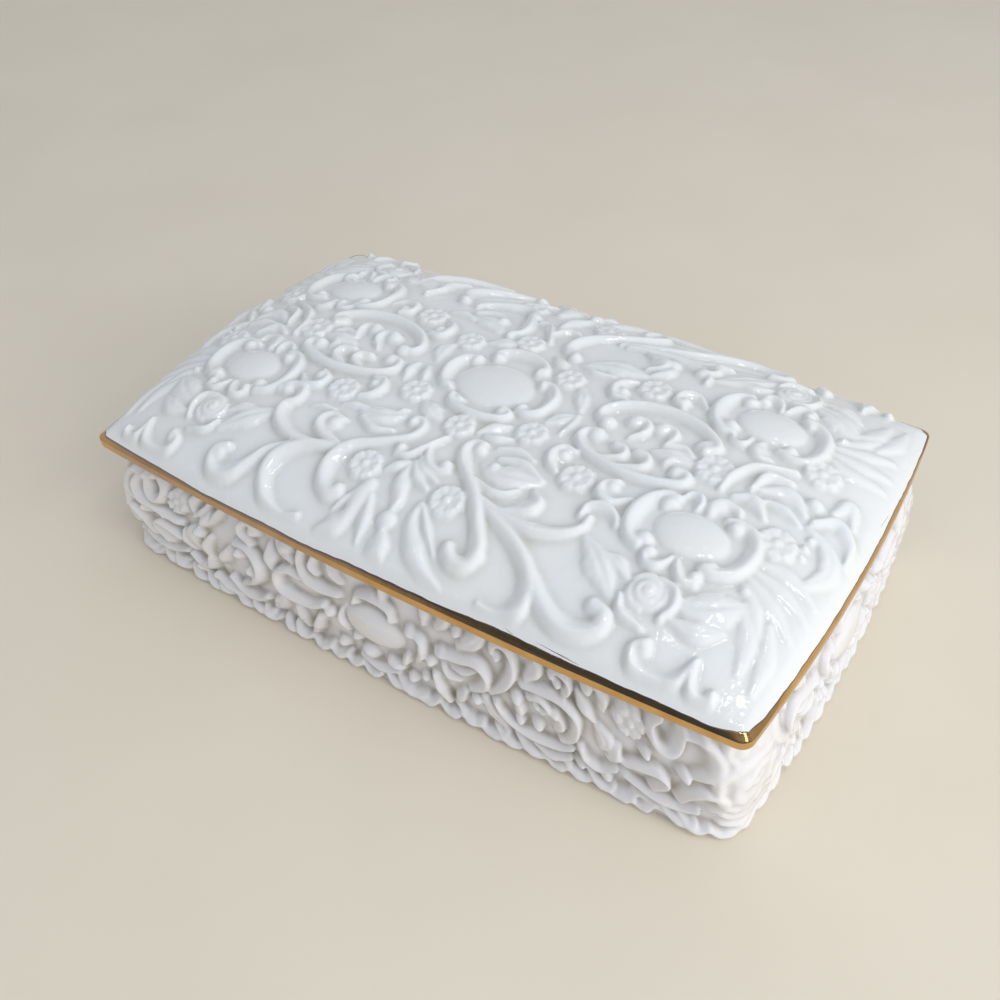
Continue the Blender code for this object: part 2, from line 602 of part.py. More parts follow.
def stations(path, lengths):
    """Returns which points of a fine path its facets end at: after a length, or after a turn."""
    steps = np.diff(path, axis=0)
    headings = np.unwrap(np.arctan2(steps[:, 1], steps[:, 0]))
    picked = [0]
    for index in range(1, len(steps)):
        run = lengths[index] - lengths[picked[-1]]
        turn = abs(headings[index] - headings[picked[-1]])
        if run >= LONGEST_FACET or (run >= SHORTEST_FACET and turn >= SHARPEST_TURN):
            picked.append(index)
    if len(picked) > 1 and lengths[-1] - lengths[picked[-1]] < SHORTEST_FACET:
        picked.pop()
    return np.array(picked + [len(steps)])


def compass(count, turn):
    """Returns this many directions round a point, turned on by a share of the step between two."""
    angles = (np.arange(count) + turn) * 2 * math.pi / count
    return np.column_stack([np.cos(angles), np.sin(angles)])


Ridge = namedtuple("Ridge", "path lengths half_widths heights")
Boss = namedtuple("Boss", "middle half_sizes lift is_oval")
Flower = namedtuple("Flower", "middle reach petals lift")


class Relief:
    """The motifs on one flat sheet, in metres on that sheet, and how high they make it."""

    def __init__(self):
        self.ridges = []
        self.bosses = []
        self.flowers = []

    def add(self, motifs, mirrors, squares, origin, gain):
        """Adds motifs drawn in squares about an origin, once for each mirror."""
        for mirror in mirrors:
            scale = np.multiply(squares, mirror)
            for widths, points in motifs.ridges:
                self.add_ridge(points * scale + origin, np.asarray(widths) * squares[0], gain)
            for bosses, lift in ((motifs.ovals, OVAL_LIFT), (motifs.beads, BEAD_LIFT)):
                for x, y, *sizes in bosses:
                    middle = (x, y) * scale + origin
                    half_sizes = np.asarray(sizes) * squares[0]
                    self.bosses.append(Boss(middle, half_sizes, lift * gain, lift == OVAL_LIFT))
            for x, y, reach, petals in motifs.flowers:
                middle = (x, y) * scale + origin
                self.flowers.append(Flower(middle, reach * squares[0], petals, PETAL_LIFT * gain))

    def add_ridge(self, points, widths, gain):
        """Adds a ridge along a smooth path, with its widths at the start, middle and finish."""
        path, lengths = smooth_path(points)
        half_widths = np.interp(lengths / lengths[-1], (0, 0.5, 1), widths) / 2
        heights = SCROLL_LIFT * gain * (2 * half_widths / max(widths)) ** NARROWING_FALL
        self.ridges.append(Ridge(path, lengths, half_widths, heights))

    def flower_bosses(self):
        """Returns the petals and eyes of all the flowers."""
        found = []
        for flower in self.flowers:
            petal = np.full(2, flower.reach * PETAL_SIZE_SHARE)
            eye = np.full(2, flower.reach * EYE_SIZE_SHARE)
            for way in compass(flower.petals, 0) * flower.reach * PETAL_RING_SHARE:
                found.append(Boss(flower.middle + way, petal, flower.lift, False))
            found.append(Boss(flower.middle, eye, flower.lift, False))
        return found

    def height(self, places):
        """Returns the relief's height at places on the sheet: touching motifs melt into each other."""
        total = np.zeros(len(places))
        for ridge in self.ridges:
            reach = ridge.half_widths.max()
            low, high = ridge.path.min(axis=0) - reach, ridge.path.max(axis=0) + reach
            near = np.all((places > low) & (places < high), axis=1)
            if not near.any():
                continue
            gaps = np.linalg.norm(places[near][:, None] - ridge.path[None], axis=2)
            nearest = np.argmin(gaps - ridge.half_widths, axis=1)
            across = gaps[np.arange(len(gaps)), nearest] / ridge.half_widths[nearest]
            section = np.clip(1 - across**2, 0, None) ** RIDGE_ROUNDNESS
            total[near] += (ridge.heights[nearest] * section) ** BLEND_POWER
        for boss in self.bosses + self.flower_bosses():
            across = np.linalg.norm((places - boss.middle) / boss.half_sizes, axis=1)
            section = np.clip(1 - across**2, 0, None) ** BOSS_ROUNDNESS
            total += (boss.lift * section) ** BLEND_POWER
        return total ** (1 / BLEND_POWER)


class Net:
    """The corners and lines that one flat sheet's facets keep, in a convex anticlockwise border."""

    def __init__(self, border):
        steps = np.roll(border, -1, axis=0) - border
        lengths = np.linalg.norm(steps, axis=1)
        self.border = border
        self.inward = np.column_stack([-steps[:, 1], steps[:, 0]]) / lengths[:, None]
        self.places = border
        self.edges = [(index, (index + 1) % len(border)) for index in range(len(border))]

    def corner(self, place, apart):
        """Returns the number of the corner that is near a place, or of a new one inside the border."""
        if np.sum((place - self.border) * self.inward, axis=1).min() < apart:
            return None
        gaps = np.linalg.norm(self.places - place, axis=1)
        nearest = int(np.argmin(gaps))
        if gaps[nearest] < apart:
            return nearest
        self.places = np.vstack([self.places, place])
        return len(self.places) - 1

    def line(self, places, kept):
        """Joins the kept ones of these places, where they follow each other."""
        before = None
        for place, is_kept in zip(places, kept):
            number = self.corner(place, NEAREST_CORNERS) if is_kept else None
            if before is not None and number is not None and before != number:
                self.edges.append((before, number))
            before = number

    def loop(self, places):
        """Joins all of these places, the last with the first."""
        self.line(np.vstack([places, places[:1]]), np.ones(len(places) + 1, bool))

    def draw_crest(self, relief, ridge):
        """Draws a ridge's crest or shoulders, and returns rays from there out to its feet."""
        picked = stations(ridge.path, ridge.lengths)
        crest, reach = ridge.path[picked], ridge.half_widths[picked][:, None]
        ahead = np.gradient(ridge.path, axis=0)[picked]
        ahead /= np.linalg.norm(ahead, axis=1)[:, None]
        aside = np.column_stack([-ahead[:, 1], ahead[:, 0]])
        kept = relief.height(crest) < ridge.heights[picked] * COVERED_SHARE
        if ridge.half_widths.max() > BROAD_RIDGE / 2:
            self.line(crest + aside * reach * SHOULDER_SHARE, kept)
            self.line(crest - aside * reach * SHOULDER_SHARE, kept)
        else:
            self.line(crest, kept)
        around = np.concatenate([np.arange(len(picked)), [-1], np.arange(len(picked))[::-1], [0]])
        ways = np.vstack([aside, ahead[-1:], -aside[::-1], -ahead[:1]])
        return crest[around], ways * reach[around], kept[around]

    def draw_crown(self, relief, boss):
        """Draws the top of an oval or a bead, and returns rays from there out to its foot."""
        count = OVAL_CORNERS if boss.is_oval else BEAD_CORNERS
        ways = compass(count, 0) * boss.half_sizes
        kept = relief.height(boss.middle[None]) < boss.lift * COVERED_SHARE
        if boss.is_oval:
            self.loop(boss.middle + ways * CROWN_SHARE)
        self.line(boss.middle[None], kept)
        return np.repeat(boss.middle[None], count, axis=0), ways, np.repeat(kept, count)

    def draw_flower(self, flower):
        """Draws a flower: its eye, its petals' tops, the notches between them and the outline."""
        tips = compass(flower.petals, 0) * flower.reach
        notches = compass(flower.petals, 0.5) * flower.reach
        self.loop(flower.middle[None])
        self.loop(flower.middle + notches * EYE_SIZE_SHARE)
        for notch in notches:
            self.line(flower.middle + np.outer((EYE_SIZE_SHARE, NOTCH_SHARE), notch), (True, True))
        for tip in tips:
            self.loop(flower.middle + tip[None] * PETAL_RING_SHARE)
        self.loop(flower.middle + np.stack([tips, notches * NOTCH_SHARE], axis=1).reshape(-1, 2))

    def draw_foot(self, relief, starts, ways, kept):
        """Draws the line where the rays, each from a crest outwards, meet their first low place."""
        rays = starts[:, None] + ways[:, None] * np.linspace(0, 1, RAY_STEPS + 1)[:, None]
        heights = relief.height(rays.reshape(-1, 2)).reshape(rays.shape[:2])
        rises = heights[:, 1:] >= heights[:, :-1]
        lowest = np.where(rises.any(axis=1), np.argmax(rises, axis=1), RAY_STEPS)
        places = rays[np.arange(len(rays)), lowest]
        kept = kept & (lowest > 1)
        self.line(np.vstack([places, places[:1]]), np.append(kept, kept[0]))

    def draw(self, relief):
        """Draws all of a relief: crests first, because a line drawn later gives way to them."""
        rays = [self.draw_crest(relief, ridge) for ridge in relief.ridges]
        rays += [self.draw_crown(relief, boss) for boss in relief.bosses]
        for flower in relief.flowers:
            self.draw_flower(flower)
        for starts, ways, kept in rays:
            self.draw_foot(relief, starts, ways, kept)

    def fill(self, across, deep):
        """Adds the corners of a grid that are far from all others, for the surface's own curve."""
        for x in across:
            for y in deep:
                self.corner(np.array([x, y]), PLAIN_FACET / 2)

    def sheet(self):
        """Returns the sheet's corners, the border first, and its triangles."""
        everything = [tuple(place) for place in self.places]
        found = delaunay_2d_cdt(everything, self.edges, [], 1, WELD_DISTANCE / 10)
        return np.array([tuple(place) for place in found[0]]), [tuple(face) for face in found[2]]


class Shell:
    """The points and faces of one closed surface, put together from sheets and rings."""

    def __init__(self, points, faces):
        self.points = points
        self.faces = faces

    def add_rings(self, rings, is_capped):
        """Adds the bands between each ring and the next, and closes the last one if is_capped."""
        count = len(rings[0])
        first = len(self.points)
        for level in range(first, first + count * (len(rings) - 1), count):
            for index in range(count):
                after = (index + 1) % count
                corners = (index, after, after + count, index + count)
                self.faces.append(tuple(level + corner for corner in corners))
        self.points = np.vstack([self.points] + rings)
        if is_capped:
            self.faces.append(tuple(range(len(self.points) - count, len(self.points))))

    def solid(self, name, finish):
        """Returns an object with this surface, welded where sheets and rings meet, facing out."""
        mesh = bpy.data.meshes.new(name)
        mesh.from_pydata([tuple(point) for point in self.points], [], self.faces)
        editable = bmesh.new()
        editable.from_mesh(mesh)
        bmesh.ops.remove_doubles(editable, verts=editable.verts, dist=WELD_DISTANCE)
        bmesh.ops.recalc_face_normals(editable, faces=editable.faces)
        editable.to_mesh(mesh)
        editable.free()
        mesh.materials.append(finish)
        made = bpy.data.objects.new(name, mesh)
        bpy.context.scene.collection.objects.link(made)
        return made


def lid_relief():
    """Returns the lid's relief on its plan."""
    squares = (LENGTH / 2 / LONG_SQUARES, WIDTH / 2 / SHORT_SQUARES)
    relief = Relief()
    for motifs, mirrors in (
        (MIDDLE, AS_DRAWN),
        (SIDE, LEFT_AND_RIGHT),
        (FRONT, FRONT_AND_BACK),
        (QUARTER, ALL_QUARTERS),
    ):
        relief.add(motifs, mirrors, squares, (0, 0), 1)
    return relief


def lid_crown(border):
    """Returns the points and triangles of the lid's top, whose border lies on the rim."""
    relief = lid_relief()
    net = Net(border)
    net.draw(relief)
    half_long, half_wide = LENGTH / 2, WIDTH / 2
    net.fill(
        np.arange(-half_long, half_long, PLAIN_FACET),
        np.arange(-half_wide, half_wide, PLAIN_FACET),
    )
    plan, faces = net.sheet()
    height = dome_height(plan) + relief.height(plan)
    height[: len(border)] = RIM_HEIGHT
    return np.column_stack([plan, height]), faces


def build_lid(finish):
    """Builds the domed lid: relief crown, rebated rim, locating flange and hollow underside."""
    seat_inset = GILT_THICKNESS + GILT_GAP
    flange_inset = TRAY_NECK_INSET + TRAY_WALL + FLANGE_CLEARANCE
    hollow_inset = flange_inset + FLANGE_WALL
    deepest = WIDTH / 2 - hollow_inset - HOLLOW_CORNER_RADIUS

    rim = ring(seat_inset, LID_CORNER_RADIUS, RIM_HEIGHT)
    rings = [
        rim,
        ring(seat_inset, LID_CORNER_RADIUS, 0),
        ring(flange_inset, HOLLOW_CORNER_RADIUS, 0),
        ring(flange_inset, HOLLOW_CORNER_RADIUS, -FLANGE_DROP),
        ring(hollow_inset, HOLLOW_CORNER_RADIUS, -FLANGE_DROP),
    ]
    for share in HOLLOW_RING_SHARES:
        loop = ring(hollow_inset + deepest * share, HOLLOW_CORNER_RADIUS, 0)
        loop[:, 2] = dome_height(loop[:, :2]) - LID_WALL
        rings.append(loop)
    shell = Shell(*lid_crown(rim[:, :2]))
    shell.add_rings(rings, True)
    made = shell.solid("lid", finish)
    made.location = (0, 0, TRAY_HEIGHT + SEAT_GAP)
    return made


def build_gilt_edge(finish, lid):
    """Builds the gilt ring that covers the lid's rim and rounds over its shoulder."""
    rings = [
        ring(GILT_THICKNESS * inset_share, LID_CORNER_RADIUS, RIM_HEIGHT * height_share)
        for inset_share, height_share in GILT_SECTION_SHARES
    ]
    shell = Shell(np.zeros((0, 3)), [])
    shell.add_rings(rings + rings[:1], False)
    made = shell.solid("gilt_edge", finish)
    made.parent = lid
    return made


def wall_inset(depth):
    """Returns how far the tray's plain wall lies inside the lid's outline, at a share of its depth."""
    depths, swells = zip(*WALL_PROFILE_SHARES)
    swell = np.interp(depth, depths, swells)
    plain = TRAY_NECK_INSET + (TRAY_WIDEST_INSET - TRAY_NECK_INSET) * swell
    turned = np.clip((depth - depths[-1]) / (1 - depths[-1]), 0, 1)
    return plain + (TRAY_FOOT_INSET - plain) * (1 - np.sqrt(1 - turned**2))


def wall_relief():
    """Returns the relief of all four walls on one unrolled sheet: along the walls, and height.

    The walls at the sheet's two ends are drawn past the seam as well, so their motifs meet across it.
    """
    arc, long_run, short_run = stretch_lengths(TRAY_CORNER_RADIUS)
    height_square = TRAY_HEIGHT / WALL_SQUARES
    long_squares = (LENGTH / 2 / LONG_SQUARES, height_square)
    short_squares = (WIDTH / 2 / SHORT_SQUARES, height_square)
    relief = Relief()
    place = -long_run
    for run, squares in ((long_run, long_squares), (short_run, short_squares)) * 3:
        place_and_gain = ((place + run / 2, TRAY_HEIGHT), WALL_LIFT_SHARE)
        relief.add(WALL_MIDDLE, AS_DRAWN, squares, *place_and_gain)
        relief.add(WALL, LEFT_AND_RIGHT, squares, *place_and_gain)
        if run == long_run:
            relief.add(LONG_WALL, LEFT_AND_RIGHT, squares, *place_and_gain)
        place += run + arc
    return relief


def tray_walls():
    """Returns the points and triangles of the tray's outside, from its foot up to its lip."""
    arc, long_run, short_run = stretch_lengths(TRAY_CORNER_RADIUS)
    starts = np.concatenate([[0], np.cumsum((arc, short_run, arc, long_run) * 2)])
    stretches = np.arange(9)
    along = np.interp(np.append(outline_shares(), 8), stretches, starts)
    seam = np.linspace(0, TRAY_HEIGHT, SEAM_STEPS + 1)[1:-1]
    border = np.vstack(
        [
            np.column_stack([along, np.zeros(len(along))]),
            np.column_stack([np.full(len(seam), starts[-1]), seam]),
            np.column_stack([along[::-1], np.full(len(along), TRAY_HEIGHT)]),
            np.column_stack([np.zeros(len(seam)), seam[::-1]]),
        ]
    )
    relief = wall_relief()
    net = Net(border)
    net.draw(relief)
    fade_in, fade_out = WALL_RELIEF_SHARES
    levels = [depth for depth, _ in WALL_PROFILE_SHARES[1:]] + [fade_in, fade_out]
    net.fill(along, TRAY_HEIGHT * (1 - np.array(levels)))
    sheet, faces = net.sheet()

    depth = 1 - sheet[:, 1] / TRAY_HEIGHT
    strength = np.interp(depth, (0, fade_in, fade_out, 1), (0, 1, 1, 0))
    inset = wall_inset(depth) - relief.height(sheet) * strength
    plan = plan_point(np.interp(sheet[:, 0], starts, stretches), inset, TRAY_CORNER_RADIUS)
    return np.column_stack([plan, sheet[:, 1]]), faces


def build_tray(finish):
    """Builds the tray: bulged relief walls, a lipped mouth, the hollow and a foot ring."""
    mouth_inset = TRAY_NECK_INSET + TRAY_WALL
    ring_inset = TRAY_FOOT_INSET + FOOT_RING_WIDTH
    fillet_middle = FLOOR_FILLET * FILLET_MIDDLE_SHARE
    hollow = [
        ring(TRAY_NECK_INSET, TRAY_CORNER_RADIUS, TRAY_HEIGHT),
        ring(mouth_inset - TRAY_LIP_BEVEL, MOUTH_CORNER_RADIUS, TRAY_HEIGHT),
        ring(mouth_inset, MOUTH_CORNER_RADIUS, TRAY_HEIGHT - TRAY_LIP_BEVEL),
        ring(mouth_inset, MOUTH_CORNER_RADIUS, TRAY_FLOOR + FLOOR_FILLET),
        ring(mouth_inset + fillet_middle, MOUTH_CORNER_RADIUS, TRAY_FLOOR + fillet_middle),
        ring(mouth_inset + FLOOR_FILLET, MOUTH_CORNER_RADIUS, TRAY_FLOOR),
    ]
    underside = [
        ring(TRAY_FOOT_INSET, TRAY_CORNER_RADIUS, 0),
        ring(ring_inset, TRAY_CORNER_RADIUS, 0),
        ring(ring_inset + FOOT_RECESS, TRAY_CORNER_RADIUS, FOOT_RECESS),
    ]
    shell = Shell(*tray_walls())
    shell.add_rings(hollow, True)
    shell.add_rings(underside, True)
    return shell.solid("tray", finish)


def main():
    """Builds the box, closed."""
    clear_scene()
    build_tray(tray_glaze())
    lid = build_lid(porcelain_glaze())
    build_gilt_edge(bright_gold(), lid)


if __name__ == "__main__":
    main()
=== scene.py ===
"""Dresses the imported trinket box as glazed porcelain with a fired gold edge, on a pale floor.

The lid and the tray are rebuilt over their CAD solids with the full moulded relief: scrolls with a
steep outer flank, ribbed leaves, beaded flowers, coiled roses and smooth ovals, softened as a glaze
softens them. The gold is a thin film of its own, brushed on by hand over the lid's rim.

Metres, +Z up. The front faces -Y, and the tray stands on z = 0.
"""

from __future__ import annotations

import json
import logging
import math
from collections.abc import Iterable, Sequence
from dataclasses import dataclass, field
from enum import Enum

import bmesh
import bpy
import numpy as np
from mathutils import Matrix, Vector

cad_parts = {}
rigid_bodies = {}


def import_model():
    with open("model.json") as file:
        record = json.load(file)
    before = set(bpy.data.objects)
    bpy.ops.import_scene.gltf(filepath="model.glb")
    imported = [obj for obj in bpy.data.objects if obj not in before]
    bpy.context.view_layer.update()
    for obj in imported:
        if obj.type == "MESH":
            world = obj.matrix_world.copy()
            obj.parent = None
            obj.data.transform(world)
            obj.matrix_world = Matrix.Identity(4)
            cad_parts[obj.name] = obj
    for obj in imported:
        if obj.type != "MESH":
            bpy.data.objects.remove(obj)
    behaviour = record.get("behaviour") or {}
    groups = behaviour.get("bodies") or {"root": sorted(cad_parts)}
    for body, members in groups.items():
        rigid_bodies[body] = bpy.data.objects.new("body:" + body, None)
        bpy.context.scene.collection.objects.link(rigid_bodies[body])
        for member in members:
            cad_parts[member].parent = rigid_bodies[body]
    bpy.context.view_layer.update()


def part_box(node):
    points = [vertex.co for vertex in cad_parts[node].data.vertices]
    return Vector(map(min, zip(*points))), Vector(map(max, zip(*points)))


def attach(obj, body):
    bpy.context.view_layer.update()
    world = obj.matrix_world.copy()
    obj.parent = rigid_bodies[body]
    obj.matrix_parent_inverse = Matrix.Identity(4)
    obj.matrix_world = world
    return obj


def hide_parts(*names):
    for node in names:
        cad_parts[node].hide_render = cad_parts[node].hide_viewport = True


LOG = logging.getLogger("trinket_box")
MM = 0.001

Array = np.ndarray
Arrays = tuple[np.ndarray, np.ndarray]
Amount = float | np.ndarray
Pair = tuple[float, float]
Triple = tuple[float, float, float]
Path = tuple[Pair, ...]
Row = tuple[Triple, Path]
Colour = tuple[float, float, float]
Material = bpy.types.Material
Socket = bpy.types.NodeSocket


class Cut(Enum):
    """How a stroke of the relief is carved across its width."""

    SCROLL = "a crest near its outer flank, falling gently to the inside of its curve"
    STROKE = "round, its crest a little off its middle in a bend"
    LEAF = "a sunk midrib, slanting veins and a notched edge"


@dataclass(frozen=True)
class Drawing:
    """A group of the relief's motifs on squared paper.

    A scroll, stroke or leaf gives its widths at the start, middle and finish, and its path. An oval
    gives its middle, half its length and half its width, a bead its middle and radius, a flower its
    middle, reach and number of petals, and a rose its middle and reach.
    """

    scrolls: tuple[Row, ...] = ()
    strokes: tuple[Row, ...] = ()
    leaves: tuple[Row, ...] = ()
    ovals: tuple[tuple[float, float, float, float], ...] = ()
    beads: tuple[Triple, ...] = ()
    flowers: tuple[tuple[float, float, float, int], ...] = ()
    roses: tuple[Triple, ...] = ()


class Mirrors(Enum):
    """Which mirrors of a drawing are cast, as signs of x and y."""

    AS_DRAWN = ((1, 1),)
    LEFT_AND_RIGHT = ((1, 1), (-1, 1))
    ALL_QUARTERS = ((1, 1), (-1, 1), (1, -1), (-1, -1))


# The lid's relief, in squares from its middle. A square is a 77.4th of half the lid's length, and a
# 46.6th of half its width.
QUARTER = Drawing(
    scrolls=(
        ((2.0, 3.0, 2.4), ((46.2, -11.0), (44.0, -11.0), (41.8, -13.2), (40.7, -16.6),
            (40.9, -20.0), (42.4, -22.8), (44.6, -24.0))),
        ((1.6, 2.7, 2.6), ((55.6, -11.0), (57.8, -10.3), (60.5, -11.2), (62.3, -14.2),
            (62.3, -18.0), (61.0, -21.0), (58.4, -22.9), (56.6, -22.8))),
        ((1.1, 1.8, 0.9), ((46.7, -10.0), (47.5, -8.7), (49.1, -8.6), (50.0, -10.2),
            (49.8, -12.0))),
        ((1.5, 2.2, 1.0), ((46.4, -24.9), (47.6, -26.5), (49.4, -26.3), (50.7, -24.6),
            (51.1, -23.0))),
        ((1.0, 2.2, 1.7), ((52.0, -23.2), (52.8, -25.0), (54.4, -26.6), (56.6, -26.4))),
        ((1.6, 2.8, 1.4), ((24.0, -9.6), (21.6, -9.6), (20.6, -12.0), (21.4, -14.4),
            (23.4, -15.8))),
        ((1.8, 2.6, 1.0), ((35.0, -12.8), (33.0, -14.4), (33.4, -17.0), (36.2, -17.6),
            (39.0, -15.2))),
        ((1.8, 2.8, 1.2), ((54.6, -38.6), (52.8, -40.4), (54.2, -43.0), (57.8, -43.7),
            (61.2, -41.8), (62.8, -37.4))),
        ((1.2, 2.2, 2.0), ((62.9, -38.4), (63.3, -41.0), (64.7, -42.7), (66.8, -42.2),
            (67.1, -40.9))),
        ((1.2, 2.0, 1.4), ((51.6, -28.0), (54.4, -28.9), (55.5, -31.8), (54.5, -34.6))),
        ((1.2, 1.9, 1.0), ((46.6, -33.6), (48.2, -36.3), (52.4, -37.2))),
    ),
    strokes=(
        ((1.6, 3.2, 1.4), ((55.2, -7.6), (53.4, -7.4), (52.1, -9.2), (52.3, -11.6))),
    ),
    leaves=(
        ((1.2, 5.6, 1.6), ((35.8, -26.4), (40.2, -29.8), (45.4, -34.6))),
        ((1.2, 3.2, 1.2), ((40.2, -28.2), (43.4, -28.6), (46.4, -30.4))),
        ((1.8, 6.6, 1.0), ((55.4, -30.8), (60.4, -29.2), (65.8, -24.8))),
        ((1.4, 4.0, 1.0), ((56.2, -33.8), (60.6, -33.6), (64.4, -31.4))),
    ),
    ovals=((51.7, -17.3, 6.9, 5.1),),
    beads=(
        (45.3, -12.9, 1.9), (45.2, -22.2, 1.8), (57.5, -12.0, 1.6), (57.4, -22.0, 1.7),
        (47.2, -24.3, 1.4), (56.2, -25.1, 1.4), (54.4, -39.7, 1.5), (22.6, -11.4, 1.4),
        (34.6, -14.4, 1.5), (64.0, -22.6, 0.9),
    ),
    flowers=((27.6, -15.5, 3.8, 7), (64.4, -10.4, 3.9, 7)),
    roses=((50.5, -31.4, 3.9),),
)

FAN = Drawing(
    strokes=(
        ((1.8, 3.4, 1.6), ((63.4, -16.0), (68.0, -14.9), (74.0, -16.6))),
        ((1.8, 3.4, 1.6), ((63.6, -17.8), (69.0, -18.6), (74.0, -20.4))),
        ((1.8, 3.4, 1.6), ((63.6, -19.8), (68.2, -22.0), (73.0, -25.4))),
        ((1.6, 3.0, 1.4), ((63.6, -21.6), (66.4, -24.2), (69.0, -28.4))),
        ((1.8, 3.4, 1.4), ((65.4, -26.0), (68.2, -30.2), (69.0, -36.0))),
        ((1.6, 3.2, 1.2), ((69.8, -25.6), (71.8, -31.0), (72.0, -37.4))),
    ),
)

SIDE = Drawing(
    scrolls=(
        ((2.0, 2.6, 2.6), ((25.2, 1.2), (22.8, 1.8), (22.2, 4.2), (24.6, 7.4), (29.0, 9.6),
            (34.5, 10.3), (39.8, 9.4), (44.0, 7.2), (46.2, 4.6), (44.6, 2.4))),
        ((2.0, 2.6, 2.6), ((25.2, -2.4), (22.8, -2.8), (22.2, -5.2), (24.6, -7.8), (29.0, -9.4),
            (35.0, -10.2), (40.6, -9.4), (44.6, -7.6), (44.8, -5.4), (42.4, -4.8))),
        ((2.4, 2.2, 1.0), ((29.6, 4.6), (31.8, 4.2), (32.4, 1.8), (30.4, -0.8))),
        ((2.4, 2.2, 1.0), ((35.0, 5.2), (37.4, 4.6), (38.0, 2.6), (37.2, 0.6))),
        ((2.2, 2.3, 1.0), ((29.4, -4.1), (31.5, -4.7), (31.8, -6.8), (28.4, -8.3))),
        ((2.4, 2.4, 1.0), ((34.0, -4.0), (36.4, -4.8), (36.5, -7.4), (32.0, -9.2))),
        ((1.4, 2.2, 1.4), ((51.0, -4.4), (51.6, 0.2), (54.4, 4.4), (60.6, 7.4))),
        ((1.4, 2.4, 1.4), ((55.6, -1.4), (57.0, 3.0), (61.0, 4.4))),
        ((1.6, 2.6, 1.4), ((67.4, -1.6), (71.0, 1.6), (74.4, -0.8), (75.0, -5.0))),
    ),
    strokes=(
        ((1.4, 1.8, 1.2), ((37.4, 0.6), (40.4, 1.9), (43.2, 0.4))),
        ((1.8, 2.0, 0.8), ((40.6, -2.4), (39.8, -3.6), (40.2, -5.0))),
        ((1.8, 3.6, 1.6), ((57.0, -0.6), (61.8, 1.6), (65.8, -1.2))),
        ((1.4, 2.4, 1.2), ((58.8, -2.6), (62.2, -2.4), (65.6, -3.8))),
        ((1.4, 2.8, 1.2), ((53.6, -4.8), (57.0, -3.6), (60.4, -6.8))),
        ((1.2, 1.8, 1.0), ((53.8, -7.0), (56.0, -7.6), (57.0, -9.6))),
        ((1.6, 3.2, 1.2), ((69.4, 3.2), (71.2, 7.2), (73.2, 3.2))),
    ),
    leaves=(
        ((1.2, 4.4, 1.8), ((36.0, -1.7), (40.2, -1.3), (43.8, -1.5))),
        ((1.6, 4.4, 1.8), ((67.2, -3.2), (71.6, -5.2), (73.3, -9.4), (71.4, -14.4))),
    ),
    beads=(
        (24.8, 1.2, 1.9), (24.9, -3.0, 1.9), (29.4, 3.9, 2.0), (34.8, 4.4, 2.0),
        (44.0, 3.8, 2.1), (42.6, -5.6, 1.5), (66.2, 2.4, 1.7), (68.6, -5.6, 0.8),
        (68.4, -7.8, 0.8), (68.6, -10.0, 0.8),
    ),
    flowers=((48.0, -0.6, 4.2, 7),),
)

